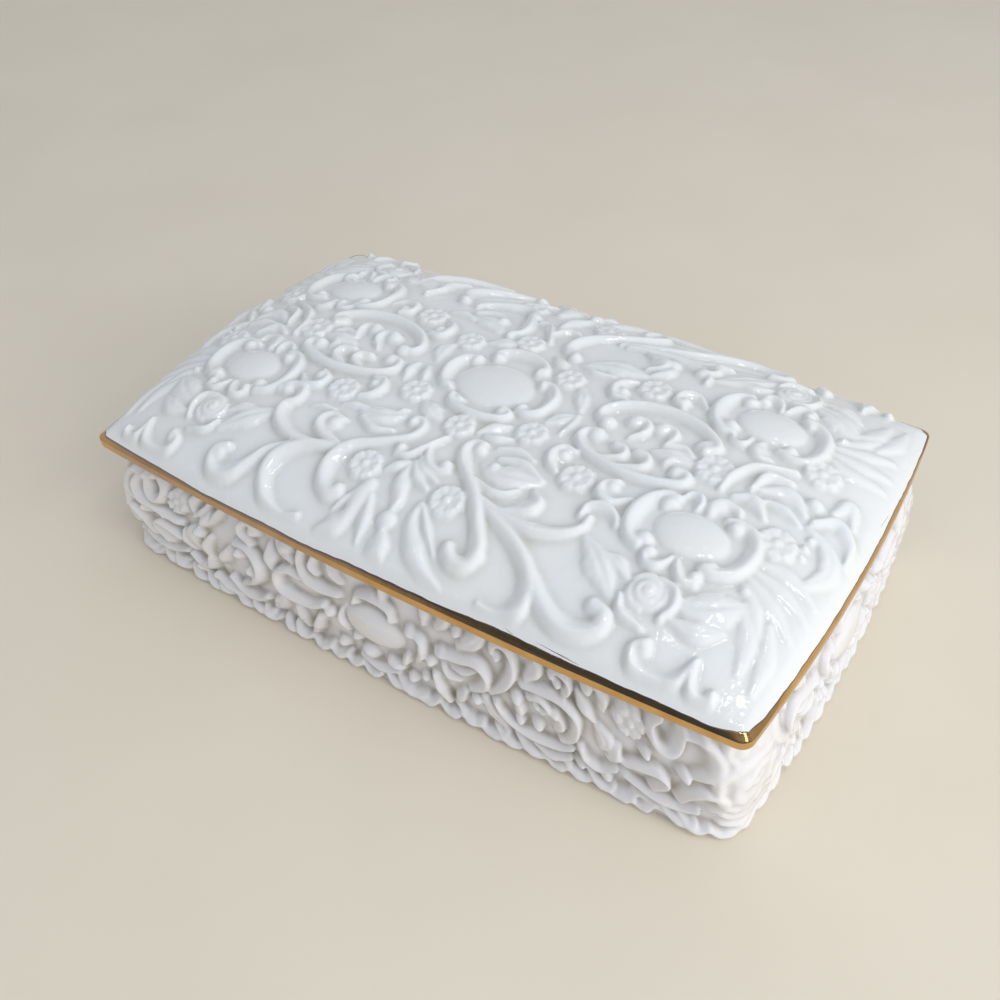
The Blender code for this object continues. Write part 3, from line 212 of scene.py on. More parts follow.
FRONT = Drawing(
    scrolls=(
        ((1.8, 2.6, 3.4), ((-8.8, -16.1), (-7.2, -15.8), (-5.8, -17.4), (-6.1, -20.2),
            (-8.6, -22.7), (-12.0, -25.0), (-15.4, -27.2), (-17.3, -30.2), (-17.6, -33.6),
            (-16.0, -36.8), (-13.4, -38.2), (-11.7, -37.5))),
        ((2.2, 2.9, 3.0), ((7.8, -16.2), (6.0, -16.5), (5.1, -18.6), (6.4, -21.4), (9.2, -24.0),
            (12.4, -26.7), (15.0, -29.6), (17.3, -32.7), (19.5, -35.7), (20.4, -38.2),
            (19.2, -40.2), (16.8, -40.3), (15.0, -39.2))),
        ((1.6, 3.3, 3.0), ((12.4, -26.6), (18.4, -29.8), (24.2, -32.4), (28.4, -35.0),
            (32.6, -38.5), (36.6, -41.0), (40.4, -42.3), (43.8, -41.9), (46.3, -40.1),
            (46.2, -38.0), (43.6, -37.2))),
        ((1.8, 3.2, 1.2), ((28.0, -34.8), (31.0, -37.8), (32.4, -41.0), (31.4, -43.6),
            (28.4, -44.9), (24.4, -44.2))),
        ((1.6, 3.0, 1.6), ((14.6, -27.6), (20.4, -29.2), (26.6, -29.7), (31.4, -28.2),
            (34.4, -25.4), (34.6, -22.6))),
        ((1.6, 2.4, 1.2), ((32.9, -23.0), (33.2, -20.6), (35.8, -19.4), (38.4, -20.4),
            (39.6, -22.2))),
        ((1.2, 3.6, 1.2), ((22.4, -21.8), (24.6, -24.0), (23.6, -26.5), (19.4, -28.3))),
        ((1.2, 2.0, 1.0), ((11.2, -24.2), (15.0, -25.6), (18.0, -25.0), (20.0, -23.1))),
        ((1.4, 1.9, 1.5), ((0.2, -17.9), (-1.2, -20.5), (-2.6, -23.2), (-4.2, -25.2),
            (-6.4, -25.6))),
        ((1.2, 1.8, 1.5), ((-1.2, -21.0), (-0.3, -23.4), (1.4, -25.2), (3.8, -25.8),
            (5.4, -25.0))),
        ((1.6, 3.4, 1.4), ((-15.6, -28.8), (-20.4, -30.2), (-25.2, -31.8), (-28.4, -35.0),
            (-29.0, -38.8), (-27.2, -42.2), (-24.0, -44.3), (-20.5, -44.7), (-17.2, -43.6))),
        ((1.6, 3.2, 2.8), ((-28.0, -32.4), (-31.4, -35.2), (-33.5, -38.8), (-35.8, -41.9),
            (-38.8, -43.1), (-41.6, -41.8), (-42.2, -39.2), (-40.2, -37.8))),
        ((2.2, 2.8, 1.8), ((-39.8, -21.4), (-38.0, -19.2), (-35.0, -19.6), (-34.2, -22.4),
            (-35.6, -25.4), (-34.2, -28.4), (-30.4, -30.4), (-24.6, -30.6), (-18.0, -28.8))),
        ((1.4, 2.8, 1.6), ((-21.2, -22.8), (-24.4, -22.8), (-25.6, -25.4), (-23.4, -27.5),
            (-18.6, -28.4))),
    ),
    strokes=(
        ((1.2, 2.0, 0.8), ((-1.2, -24.2), (1.0, -26.6), (4.8, -27.7))),
        ((1.2, 2.3, 1.2), ((-1.6, -25.6), (0.6, -28.4), (4.1, -30.1))),
        ((1.2, 2.8, 0.8), ((-2.4, -26.2), (-4.3, -28.1), (-6.1, -29.8))),
        ((1.2, 3.5, 1.8), ((-2.0, -26.8), (-1.5, -30.4), (0.5, -34.0), (0.6, -36.4))),
        ((2.0, 4.0, 0.8), ((1.1, -40.4), (2.1, -43.0), (1.6, -46.0))),
        ((1.6, 3.0, 0.8), ((-5.0, -35.4), (-3.4, -39.6), (-2.8, -43.6))),
        ((3.0, 4.6, 2.6), ((-6.7, -33.4), (-6.9, -36.6), (-6.6, -40.4))),
        ((1.0, 1.7, 0.7), ((-8.0, -35.4), (-9.5, -38.1), (-10.8, -40.4))),
        ((2.6, 3.8, 1.4), ((-7.0, -39.0), (-8.0, -42.2), (-12.2, -44.5))),
        ((1.6, 4.0, 1.2), ((5.1, -33.2), (5.5, -36.9), (8.2, -40.6), (12.0, -43.2),
            (16.6, -44.8))),
        ((1.2, 2.0, 0.8), ((5.6, -33.2), (8.6, -36.6), (12.9, -40.5))),
        ((1.4, 2.4, 1.0), ((12.4, -17.7), (17.0, -16.9), (22.6, -19.0))),
        ((1.0, 1.8, 0.8), ((10.5, -15.5), (14.5, -14.2), (18.5, -15.2))),
        ((1.2, 2.0, 0.8), ((-19.2, -17.9), (-21.8, -18.2), (-25.0, -19.0))),
        ((1.0, 1.8, 0.8), ((-12.8, -16.4), (-12.2, -15.2), (-11.4, -14.6))),
        ((1.6, 2.4, 1.2), ((-18.8, -20.6), (-14.6, -22.2), (-10.8, -20.8))),
        ((0.9, 1.7, 0.9), ((-30.5, -22.4), (-28.0, -21.5), (-25.2, -21.3))),
    ),
    leaves=(
        ((2.2, 6.2, 1.4), ((10.8, -20.2), (15.2, -21.4), (22.4, -19.6))),
        ((2.2, 5.2, 2.0), ((-11.6, -16.4), (-14.8, -18.2), (-19.6, -19.0))),
    ),
    beads=(
        (-8.4, -17.2, 1.3), (7.8, -17.5, 1.5), (14.7, -38.4, 1.4), (-11.9, -36.7, 1.3),
        (-6.2, -24.1, 1.4), (4.4, -24.1, 1.5), (0.8, -38.4, 2.0), (12.8, -20.3, 1.3),
        (20.3, -38.0, 1.9), (46.0, -39.0, 1.5), (-41.0, -39.6, 1.6), (-38.2, -21.0, 1.5),
        (-22.6, -24.6, 1.9),
    ),
    flowers=((-10.3, -30.3, 3.8, 7), (9.2, -30.8, 3.9, 8)),
)

MIDDLE = Drawing(
    scrolls=(
        ((2.0, 2.5, 2.0), ((-4.9, -5.2), (-6.5, -6.4), (-5.2, -8.6), (-1.6, -9.5), (2.4, -9.4),
            (5.8, -8.3), (7.0, -6.6), (5.2, -5.2))),
        ((2.0, 2.6, 2.0), ((7.4, 5.6), (9.8, 5.4), (11.8, 3.0), (12.3, 0.2), (11.6, -2.8),
            (9.6, -4.5), (7.8, -4.2))),
        ((2.0, 2.6, 2.0), ((-8.6, -4.2), (-10.6, -3.8), (-12.2, -1.2), (-12.6, 2.2), (-11.4, 5.4),
            (-8.8, 6.8))),
        ((2.0, 2.6, 2.0), ((-5.4, 8.0), (-6.3, 9.9), (-3.8, 12.0), (0.2, 12.6), (3.9, 11.5),
            (5.8, 9.3), (4.8, 7.9))),
    ),
    strokes=(
        ((1.2, 3.2, 1.2), ((4.6, -13.6), (6.6, -11.2), (9.2, -9.2))),
        ((1.2, 2.2, 1.0), ((6.4, -13.8), (8.8, -13.4), (11.2, -12.2))),
        ((1.0, 2.0, 0.8), ((18.9, 0.4), (19.2, -3.0), (18.4, -6.2))),
        ((1.2, 2.6, 1.0), ((-19.2, -0.8), (-19.4, -3.8), (-18.6, -6.8))),
        ((1.2, 2.4, 1.0), ((-16.8, -0.6), (-15.6, -3.2), (-14.8, -5.6))),
    ),
    leaves=(
        ((1.2, 4.2, 1.4), ((-10.4, -10.8), (-7.4, -12.4), (-4.6, -13.6))),
        ((1.4, 3.8, 1.0), ((14.4, -4.6), (16.2, -2.6), (18.6, 0.2))),
        ((1.2, 3.6, 1.4), ((18.4, 1.8), (16.8, 5.2), (14.8, 8.4))),
        ((1.2, 3.8, 1.2), ((-16.6, 2.0), (-17.6, 5.6), (-16.8, 8.6))),
        ((1.4, 3.8, 1.2), ((-10.6, 13.0), (-7.6, 14.6), (-5.0, 15.8))),
        ((1.2, 3.0, 1.0), ((4.4, 15.6), (6.8, 13.8), (8.8, 11.8))),
    ),
    ovals=((-1.0, 0.6, 8.7, 6.9),),
    beads=(
        (-4.5, -6.3, 1.6), (5.2, -6.2, 1.5), (-8.4, -3.2, 1.5), (-8.8, 5.6, 1.4),
        (7.6, 4.6, 1.5), (7.8, -3.3, 1.6), (-5.4, 8.9, 1.5), (4.9, 8.8, 1.4),
    ),
    flowers=(
        (0.2, -13.8, 3.6, 7), (13.8, -8.9, 3.6, 7), (-14.0, -8.9, 3.7, 7),
        (-14.4, 11.3, 3.5, 7), (-3.0, 17.2, 3.5, 7), (11.2, 9.8, 3.5, 7),
    ),
)

BACK = Drawing(
    scrolls=(
        ((1.8, 2.8, 2.6), ((-9.0, 18.6), (-7.4, 19.4), (-7.0, 22.0), (-8.0, 25.4), (-9.6, 28.4))),
        ((1.4, 2.8, 2.6), ((-22.2, 25.0), (-21.2, 27.0), (-16.2, 30.0), (-11.6, 31.0),
            (-8.2, 28.0))),
        ((2.4, 3.2, 1.4), ((-26.2, 26.0), (-28.2, 31.0), (-24.2, 36.0), (-19.2, 39.0),
            (-14.0, 40.6))),
        ((1.6, 3.4, 1.6), ((-41.2, 29.0), (-39.2, 35.2), (-32.2, 40.2), (-24.2, 42.4))),
        ((2.2, 2.9, 3.0), ((7.6, 18.4), (5.4, 18.8), (4.6, 21.4), (5.6, 25.0), (8.6, 28.6),
            (12.4, 31.6), (16.2, 35.0), (18.4, 38.4), (16.4, 40.6), (13.8, 39.2))),
        ((1.6, 3.3, 3.0), ((12.8, 28.6), (18.4, 31.2), (24.2, 33.8), (28.4, 36.2), (32.6, 39.2),
            (36.6, 41.6), (40.4, 42.6), (43.8, 41.9), (46.3, 40.1), (46.2, 38.0), (43.6, 37.2))),
        ((1.4, 3.0, 1.4), ((10.8, 41.6), (18.0, 43.4), (26.0, 43.8), (34.0, 42.6))),
        ((1.6, 3.0, 1.6), ((14.6, 28.4), (20.4, 29.6), (26.6, 29.8), (31.4, 28.4), (34.4, 26.0),
            (34.8, 23.8))),
        ((1.6, 2.6, 1.4), ((36.4, 32.8), (33.8, 32.0), (34.6, 29.2), (33.0, 27.2))),
        ((1.2, 3.6, 1.2), ((22.4, 21.8), (24.6, 24.0), (23.6, 26.5), (19.4, 28.3))),
        ((1.6, 2.6, 1.4), ((-36.0, 24.0), (-34.2, 27.4), (-34.0, 31.4), (-31.4, 35.0))),
        ((1.4, 1.9, 1.5), ((0.2, 19.9), (-1.2, 22.5), (-2.6, 25.0), (-4.2, 26.8), (-6.2, 26.6))),
        ((1.2, 1.8, 1.5), ((-1.2, 22.6), (-0.3, 25.0), (1.4, 26.6), (3.6, 26.6))),
    ),
    strokes=(
        ((1.2, 3.5, 1.8), ((-2.0, 28.0), (-1.5, 31.4), (0.5, 34.6), (0.6, 37.0))),
        ((2.0, 4.0, 0.8), ((1.1, 40.6), (2.1, 43.2), (1.6, 46.0))),
        ((3.0, 4.6, 1.4), ((-5.7, 34.4), (-5.6, 38.0), (-4.2, 42.6))),
        ((2.6, 3.8, 1.4), ((-6.6, 39.4), (-8.0, 42.4), (-12.2, 44.5))),
        ((1.6, 4.0, 1.2), ((5.6, 34.4), (6.0, 37.6), (8.4, 41.0), (12.0, 43.4), (16.6, 44.8))),
        ((1.0, 1.8, 0.8), ((10.5, 15.9), (14.5, 14.6), (18.5, 15.6))),
        ((1.6, 3.4, 1.6), ((24.6, 20.2), (26.6, 22.8), (27.0, 25.6))),
        ((1.2, 2.0, 0.8), ((-19.2, 19.4), (-22.4, 20.6), (-25.6, 20.0))),
        ((1.6, 2.4, 1.2), ((-20.4, 22.6), (-16.4, 24.4), (-12.4, 22.8))),
        ((1.4, 2.8, 1.2), ((-16.0, 33.8), (-12.4, 35.4), (-9.6, 38.8))),
    ),
    leaves=(
        ((2.2, 6.0, 1.4), ((12.0, 17.0), (16.6, 18.8), (23.6, 19.4))),
        ((2.2, 5.2, 2.0), ((-11.6, 18.4), (-15.0, 20.4), (-19.8, 20.6))),
    ),
    beads=(
        (-8.6, 17.6, 1.3), (7.9, 17.4, 1.5), (14.0, 38.0, 1.4), (0.8, 38.9, 2.0),
        (46.0, 39.0, 1.5), (32.6, 27.1, 1.9), (26.0, 26.4, 2.0), (-13.2, 22.0, 1.5),
        (-26.6, 26.4, 1.6), (-14.6, 40.2, 1.6),
    ),
    flowers=((-12.2, 33.2, 3.7, 7), (7.6, 33.0, 3.8, 8)),
)

# The walls' relief, in squares along a wall from its middle and in squares below the tray's lip. A
# square is as long as on the lid, and a 28.6th of the tray's height.
WALL_RIGHT = Drawing(
    scrolls=(
        ((1.6, 2.6, 1.4), ((9.4, -9.6), (11.6, -10.4), (11.8, -13.4), (10.8, -16.0))),
        ((1.2, 2.0, 1.0), ((8.4, -15.8), (7.6, -18.0), (6.4, -19.8))),
        ((2.0, 3.0, 1.4), ((15.6, -11.0), (19.8, -10.2), (24.2, -9.4), (26.4, -11.4), (25.8, -14.4),
            (22.8, -16.8))),
        ((1.6, 2.7, 1.4), ((27.4, -5.4), (28.4, -3.4), (30.6, -3.2), (32.0, -5.4), (31.9, -8.4),
            (30.2, -11.8), (27.4, -14.8))),
        ((1.4, 2.2, 1.6), ((40.0, -5.0), (41.2, -3.2), (43.2, -3.8), (43.7, -5.8), (42.8, -7.4))),
        ((1.6, 2.8, 1.6), ((34.0, -9.4), (38.0, -8.8), (42.0, -8.9), (44.8, -10.8), (45.2, -14.2),
            (44.2, -17.4), (42.2, -19.0))),
        ((1.4, 2.1, 1.6), ((35.4, -11.4), (37.8, -10.6), (39.5, -11.8), (38.2, -13.4))),
        ((1.8, 2.8, 1.8), ((28.4, -17.0), (29.8, -19.4), (33.0, -21.5), (37.2, -22.2),
            (41.6, -21.8), (44.4, -20.0))),
        ((1.8, 2.6, 1.6), ((14.6, -17.6), (15.4, -21.0), (17.2, -24.6))),
        ((1.4, 2.6, 1.6), ((36.4, -24.4), (40.0, -25.2), (44.0, -24.0))),
    ),
    strokes=(
        ((1.4, 2.0, 1.0), ((1.6, -2.0), (1.9, -4.4), (3.0, -6.4))),
        ((1.6, 2.6, 1.4), ((11.6, -2.0), (12.2, -4.4), (12.0, -6.6))),
        ((1.8, 2.8, 1.2), ((18.0, -1.8), (16.8, -4.2), (14.8, -6.4))),
        ((1.4, 3.0, 1.4), ((36.6, -2.4), (37.3, -5.0), (34.8, -8.0))),
        ((2.4, 2.6, 1.2), ((33.2, -13.6), (33.6, -16.0), (33.0, -18.0))),
        ((1.6, 2.4, 1.2), ((41.8, -12.6), (42.2, -15.0), (41.0, -17.2))),
        ((1.6, 2.6, 1.4), ((21.4, -18.8), (20.2, -21.4), (18.8, -24.4))),
        ((1.0, 1.8, 0.8), ((23.8, -12.0), (21.6, -13.2), (18.4, -13.6))),
        ((1.0, 1.8, 0.8), ((16.4, -14.0), (17.6, -15.8), (20.4, -16.4))),
    ),
    leaves=(
        ((1.4, 3.8, 1.4), ((26.4, -2.0), (23.6, -5.4), (20.0, -8.2))),
        ((1.8, 3.4, 1.4), ((25.8, -17.6), (27.2, -21.0), (30.0, -24.8))),
    ),
    beads=(
        (4.1, -20.8, 1.9), (8.6, -22.8, 1.5), (13.8, -14.4, 1.3), (9.0, -9.6, 1.4),
        (28.6, -6.2, 1.1), (41.4, -5.8, 1.2), (37.2, -12.6, 1.1), (16.6, -10.6, 1.3),
        (33.0, -13.0, 1.6), (37.4, -17.8, 1.5), (40.9, -12.4, 1.5), (33.6, -18.8, 1.3),
        (24.0, -19.2, 1.4), (19.6, -5.0, 1.2), (12.2, -20.0, 1.3), (47.4, -4.2, 1.4),
    ),
)
WALL_LEFT = Drawing(
    scrolls=(
        ((1.8, 2.8, 1.6), ((-18.8, -2.4), (-19.0, -5.4), (-17.0, -8.4), (-13.2, -9.6),
            (-8.8, -9.4))),
        ((1.2, 2.0, 1.0), ((-15.4, -2.6), (-15.8, -5.4), (-14.6, -7.2))),
        ((1.8, 2.8, 2.0), ((-18.6, -9.6), (-22.0, -9.4), (-24.8, -11.4), (-24.2, -14.4),
            (-20.6, -15.6), (-15.6, -15.2), (-12.4, -13.4))),
        ((1.6, 2.8, 1.4), ((-31.2, -2.8), (-34.4, -3.2), (-35.6, -5.6), (-33.0, -8.0))),
        ((1.8, 2.8, 1.6), ((-37.4, -9.6), (-33.8, -9.4), (-30.8, -11.4), (-30.4, -14.8),
            (-33.4, -18.6), (-37.2, -21.2))),
        ((2.2, 3.0, 2.0), ((-63.6, -4.0), (-67.0, -5.0), (-68.8, -8.0), (-66.2, -11.0),
            (-60.6, -11.8), (-54.8, -12.4))),
        ((1.8, 2.6, 1.6), ((-14.2, -17.8), (-15.6, -21.2), (-17.4, -24.6))),
        ((1.8, 2.8, 1.8), ((-40.6, -21.0), (-37.6, -23.4), (-33.4, -23.6), (-30.2, -21.6))),
        ((1.4, 2.6, 1.6), ((-46.4, -23.4), (-43.0, -25.2), (-38.6, -25.4))),
    ),
    strokes=(
        ((1.4, 2.4, 1.2), ((-12.0, -2.2), (-10.6, -5.0), (-8.6, -6.6))),
        ((1.4, 3.2, 1.2), ((-28.0, -5.8), (-27.6, -8.8), (-26.4, -11.8))),
        ((1.8, 2.8, 1.2), ((-39.8, -12.8), (-41.4, -15.4), (-42.8, -17.8))),
        ((1.2, 2.2, 1.2), ((-41.6, -2.2), (-43.2, -5.0), (-45.6, -8.6))),
        ((1.2, 2.0, 1.2), ((-46.0, -3.6), (-48.0, -6.6), (-50.6, -9.0))),
        ((1.6, 2.8, 1.2), ((-6.8, -11.6), (-7.9, -14.6), (-7.4, -18.0))),
        ((1.2, 2.2, 1.0), ((-3.6, -16.4), (-4.8, -18.4), (-6.4, -20.2))),
        ((1.6, 2.8, 1.4), ((-21.0, -18.8), (-20.2, -21.4), (-19.4, -24.4))),
        ((1.4, 2.4, 1.2), ((-45.4, -12.0), (-46.8, -15.2), (-46.0, -18.4))),
    ),
    leaves=(
        ((1.4, 3.6, 1.2), ((-26.0, -2.0), (-24.2, -5.0), (-21.6, -7.6))),
        ((1.8, 3.6, 1.4), ((-24.6, -18.0), (-26.6, -21.2), (-29.4, -24.6))),
        ((1.6, 3.6, 1.4), ((-49.0, -11.6), (-50.8, -14.4), (-50.4, -17.4))),
    ),
    beads=(
        (-23.2, -4.4, 2.0), (-11.0, -14.6, 1.5), (-32.2, -4.4, 1.6), (-36.0, -11.8, 1.5),
        (-32.8, -15.0, 1.6), (-48.2, -12.0, 1.6), (-4.2, -10.2, 1.3), (-2.0, -21.4, 2.2),
        (5.4, -20.8, 1.8), (-9.2, -22.8, 1.5),
    ),
)
WALL_ENDS = Drawing(
    scrolls=(
        ((1.8, 2.8, 2.0), ((61.6, -3.4), (59.8, -5.6), (60.6, -8.6), (63.0, -9.0), (64.9, -6.8),
            (65.6, -4.0))),
        ((2.2, 3.0, 1.4), ((66.0, -4.6), (69.2, -4.6), (71.4, -7.2), (70.6, -10.4),
            (67.4, -12.8))),
        ((1.8, 2.6, 1.6), ((46.0, -18.4), (47.2, -21.2), (50.2, -22.2), (53.0, -20.6))),
        ((1.8, 2.6, 1.8), ((54.6, -16.8), (57.6, -15.8), (61.0, -15.4), (62.4, -17.4),
            (60.2, -20.6))),
        ((1.8, 2.8, 1.4), ((65.2, -20.8), (66.8, -17.6), (69.2, -15.2), (72.0, -15.6),
            (72.4, -18.0), (70.6, -19.6))),
        ((1.6, 2.8, 1.8), ((54.6, -20.8), (59.4, -22.8), (64.8, -23.2), (68.6, -22.2))),
    ),
    strokes=(
        ((1.2, 3.0, 1.2), ((45.6, -5.8), (46.8, -8.2), (48.6, -10.4))),
        ((1.4, 2.6, 1.4), ((49.0, -2.8), (50.6, -4.8), (50.4, -7.4))),
        ((2.0, 3.0, 1.4), ((53.2, -14.0), (52.8, -16.6), (51.8, -18.6))),
        ((1.4, 2.4, 1.4), ((57.0, -25.2), (62.0, -26.0), (67.0, -25.6))),
    ),
    leaves=(((1.8, 3.6, 1.4), ((49.6, -11.4), (51.0, -13.6), (50.4, -16.4))),),
    beads=((46.2, -24.0, 1.4), (51.4, -24.0, 1.6), (65.8, -13.4, 1.5), (58.6, -12.4, 1.2)),
    flowers=((55.6, -7.2, 3.5, 6),),
)
WALL_MIDDLE = Drawing(
    scrolls=(
        ((1.4, 2.3, 1.4), ((-4.6, -9.2), (-3.8, -7.0), (0.0, -5.9), (3.8, -7.0), (4.6, -9.2))),
        ((1.2, 2.2, 1.2), ((-4.8, -23.8), (0.0, -24.8), (4.8, -23.8))),
    ),
    ovals=((0.0, -13.4, 7.4, 4.6),),
    beads=((-4.4, -9.2, 1.3), (4.4, -9.2, 1.3)),
)
LONG_WALL = (
    (WALL_MIDDLE, Mirrors.AS_DRAWN),
    (WALL_RIGHT, Mirrors.AS_DRAWN),
    (WALL_LEFT, Mirrors.AS_DRAWN),
    (WALL_ENDS, Mirrors.LEFT_AND_RIGHT),
)
SHORT_WALL = ((WALL_MIDDLE, Mirrors.AS_DRAWN), (WALL_RIGHT, Mirrors.LEFT_AND_RIGHT))


# ---- relief


@dataclass(frozen=True)
class Lifts:
    """How high each kind of motif stands above the ground."""

    scroll: float = 1.60 * MM
    stroke: float = 1.25 * MM
    leaf: float = 1.15 * MM
    bead: float = 1.50 * MM
    oval: float = 1.25 * MM
    petal: float = 1.15 * MM
    rose: float = 1.50 * MM


def soften(values: Array, cells: float) -> Array:
    """Blurs a grid of values evenly in all directions.

    Args:
        values: The grid.
        cells: The blur's standard deviation, in cells of the grid.

    Returns:
        The blurred grid, of the same shape.
    """
    reach = int(math.ceil(3 * cells))
    weights = np.exp(-0.5 * (np.arange(-reach, reach + 1) / cells) ** 2)
    weights /= weights.sum()
    for axis in (0, 1):
        margin = [(reach, reach) if side == axis else (0, 0) for side in (0, 1)]
        padded = np.pad(values, margin, mode="edge")
        values = sum(
            weight * np.take(padded, range(step, step + values.shape[axis]), axis=axis)
            for step, weight in enumerate(weights)
        )
    return values


def smooth_path(points: Array, step: float) -> Arrays:
    """Draws a fine smooth path through a few points.

    Args:
        points: The points, in order.
        step: Roughly how far apart the path's own points are.

    Returns:
        The path's points, and how far along it each of them is.
    """
    before = np.vstack([2 * points[0] - points[1], points[:-1]])
    after = np.vstack([points[1:], 2 * points[-1] - points[-2]])
    slopes = (after - before) / 2
    pieces = []
    for index in range(len(points) - 1):
        start, finish = points[index], points[index + 1]
        count = max(1, round(float(np.linalg.norm(finish - start)) / step))
        u = (np.arange(count) / count)[:, None]
        leaving = 2 * u**3 - 3 * u**2 + 1
        bends = (u**3 - 2 * u**2 + u) * slopes[index] + (u**3 - u**2) * slopes[index + 1]
        pieces.append(leaving * start + (1 - leaving) * finish + bends)
    path = np.vstack(pieces + [points[-1:]])
    lengths = np.concatenate([[0], np.cumsum(np.linalg.norm(np.diff(path, axis=0), axis=1))])
    return path, lengths


def eased(share: Array) -> Array:
    """Returns shares from 0 to 1, eased at both ends."""
    return share * share * (3 - 2 * share)


def at_height(plan: Array, height: Amount) -> Array:
    """Returns plan points, or places along a wall, with a height added to each."""
    return np.column_stack([plan, np.broadcast_to(height, len(plan))])


@dataclass
class Relief:
    """Moulded relief raised on a flat sheet, kept as heights on a fine square grid.

    Attributes:
        low: The sheet's lowest corner.
        high: The sheet's highest corner.
        fullness: How much wider strokes are cast than drawn.
        pitch: The size of a cell.
        glaze_softening: How far the glaze softens the relief.
        pool_shade_reach: How far round it a hollow is compared with its surroundings.
        pool_shade_depth: How much lower a hollow is where pooling glaze and painted shade are full.
        blend_power: How sharply motifs meet.
        path_step: How far apart the places of a stroke's path are.
        full_scroll: The width from which a scroll has its full lift.
        full_stroke: The width from which a stroke has it.
        lean: How far a scroll's crest leans out of a tight bend, in half widths.
        stroke_lean: How much of that a stroke has.
        inner_skirt: How far a scroll spreads inside a tight bend, in half widths.
        tight_curve: The radius of a tight bend.
        bend_evening: How far along a path its bends are evened out.
        leaf_lobe: The length of a leaf's lobes.
        lifts: How high the motifs stand.
    """

    low: Pair
    high: Pair
    fullness: float = 1.04
    pitch: float = 0.16 * MM
    glaze_softening: float = 0.20 * MM
    # The hollows found with these darken the glaze's colour: partly pooling glaze, partly painted
    # shade in the crevices.
    pool_shade_reach: float = 1.1 * MM
    pool_shade_depth: float = 0.70 * MM
    blend_power: float = 5.5
    path_step: float = 0.3 * MM
    full_scroll: float = 2.3 * MM
    full_stroke: float = 2.6 * MM
    lean: float = 0.34
    stroke_lean: float = 0.45
    inner_skirt: float = 1.0
    tight_curve: float = 5.0 * MM
    bend_evening: float = 1.5 * MM
    leaf_lobe: float = 2.8 * MM
    lifts: Lifts = field(default_factory=Lifts)

    def __post_init__(self) -> None:
        """Lays out the empty grids."""
        size = np.subtract(self.high, self.low)
        columns, rows = (int(math.ceil(side / self.pitch)) + 1 for side in size)
        self.total = np.zeros((rows, columns))
        self.ovals = np.zeros((rows, columns))
        self.moats = np.ones((rows, columns))
        self.heights = self.total
        self.pool_and_shade = self.total

    def window(self, low: Array, high: Array) -> tuple[tuple[slice, slice], Array]:
        """Finds the grid's cells in a box.

        Args:
            low: The box's lowest corner.
            high: The box's highest corner.

        Returns:
            The cells' slices, and the places of the cells.
        """
        limit = np.array(self.total.shape[::-1]) - 1
        first = np.clip(np.floor((low - self.low) / self.pitch).astype(int), 0, limit)
        last = np.clip(np.ceil((high - self.low) / self.pitch).astype(int), 0, limit)
        x = self.low[0] + self.pitch * np.arange(first[0], last[0] + 1)
        y = self.low[1] + self.pitch * np.arange(first[1], last[1] + 1)
        cells = (slice(first[1], last[1] + 1), slice(first[0], last[0] + 1))
        return cells, np.stack(np.meshgrid(x, y), axis=-1)

    def melt(self, grid: Array, cells: tuple[slice, slice], heights: Array) -> None:
        """Adds a motif's heights to a grid so that it melts into its neighbours."""
        grid[cells] += (np.clip(heights, 0, None) / self.lifts.scroll) ** self.blend_power

    def raise_stroke(self, points: Array, widths: Array, cut: Cut, gain: float) -> None:
        """Raises one stroke along a smooth path.

        Args:
            points: The path's points.
            widths: The stroke's widths at its start, middle and finish.
            cut: How it is carved.
            gain: How much of the full lift it has.
        """
        path, lengths = smooth_path(points, self.path_step)
        share = lengths / lengths[-1]
        halves = np.interp(share, (0, 0.5, 1), widths) / 2 * self.fullness
        reach = halves.max() * (1 + self.inner_skirt)
        cells, places = self.window(path.min(axis=0) - reach, path.max(axis=0) + reach)
        if 0 in places.shape[:2]:
            return
        flat = places.reshape(-1, 2)
        gaps = np.linalg.norm(flat[:, None] - path[None], axis=2)
        nearest = np.argmin(gaps - halves, axis=1)
        ahead = np.gradient(path, axis=0)
        ahead /= np.linalg.norm(ahead, axis=1)[:, None]
        offset = flat - path[nearest]
        aside = ahead[nearest, 0] * offset[:, 1] - ahead[nearest, 1] * offset[:, 0]
        is_inner = (nearest > 0) & (nearest < len(path) - 1)
        gap = gaps[np.arange(len(flat)), nearest] * np.sign(aside)
        across = np.where(is_inner, aside, gap) / halves[nearest]
        broad = max(widths)
        falling = (2 * halves / self.fullness / broad) ** 0.6
        if cut is Cut.SCROLL:
            lift = self.lifts.scroll * min(1.0, broad / self.full_scroll) ** 0.5
            section = self.scroll_section(across, self.bends(path, ahead, share)[nearest])
        elif cut is Cut.STROKE:
            lift = self.lifts.stroke * min(1.0, broad / self.full_stroke) ** 0.5
            bend = self.stroke_lean * self.bends(path, ahead, share)[nearest]
            section = self.scroll_section(across, bend)
        else:
            lift = self.lifts.leaf
            section = self.leaf_section(across, share[nearest], lengths[-1])
        heights = lift * gain * falling[nearest] * section
        self.melt(self.total, cells, heights.reshape(places.shape[:2]))

    def bends(self, path: Array, ahead: Array, share: Array) -> Array:
        """Finds how sharply a path bends.

        Args:
            path: The path's points.
            ahead: The way ahead at each of them.
            share: How far along the path each of them is, from 0 to 1.

        Returns:
            The bends, from -1 to the right to 1 to the left, and 0 at the path's ends.
        """
        steps = np.linalg.norm(np.gradient(path, axis=0), axis=1)
        turns = np.gradient(np.unwrap(np.arctan2(ahead[:, 1], ahead[:, 0]))) / steps
        reach = max(1, round(self.bend_evening / self.path_step))
        kernel = np.ones(2 * reach + 1) / (2 * reach + 1)
        even = np.convolve(np.pad(turns, reach, mode="edge"), kernel, mode="valid")
        inside = np.clip(4 * np.minimum(share, 1 - share), 0, 1)
        return np.tanh(even * self.tight_curve) * inside

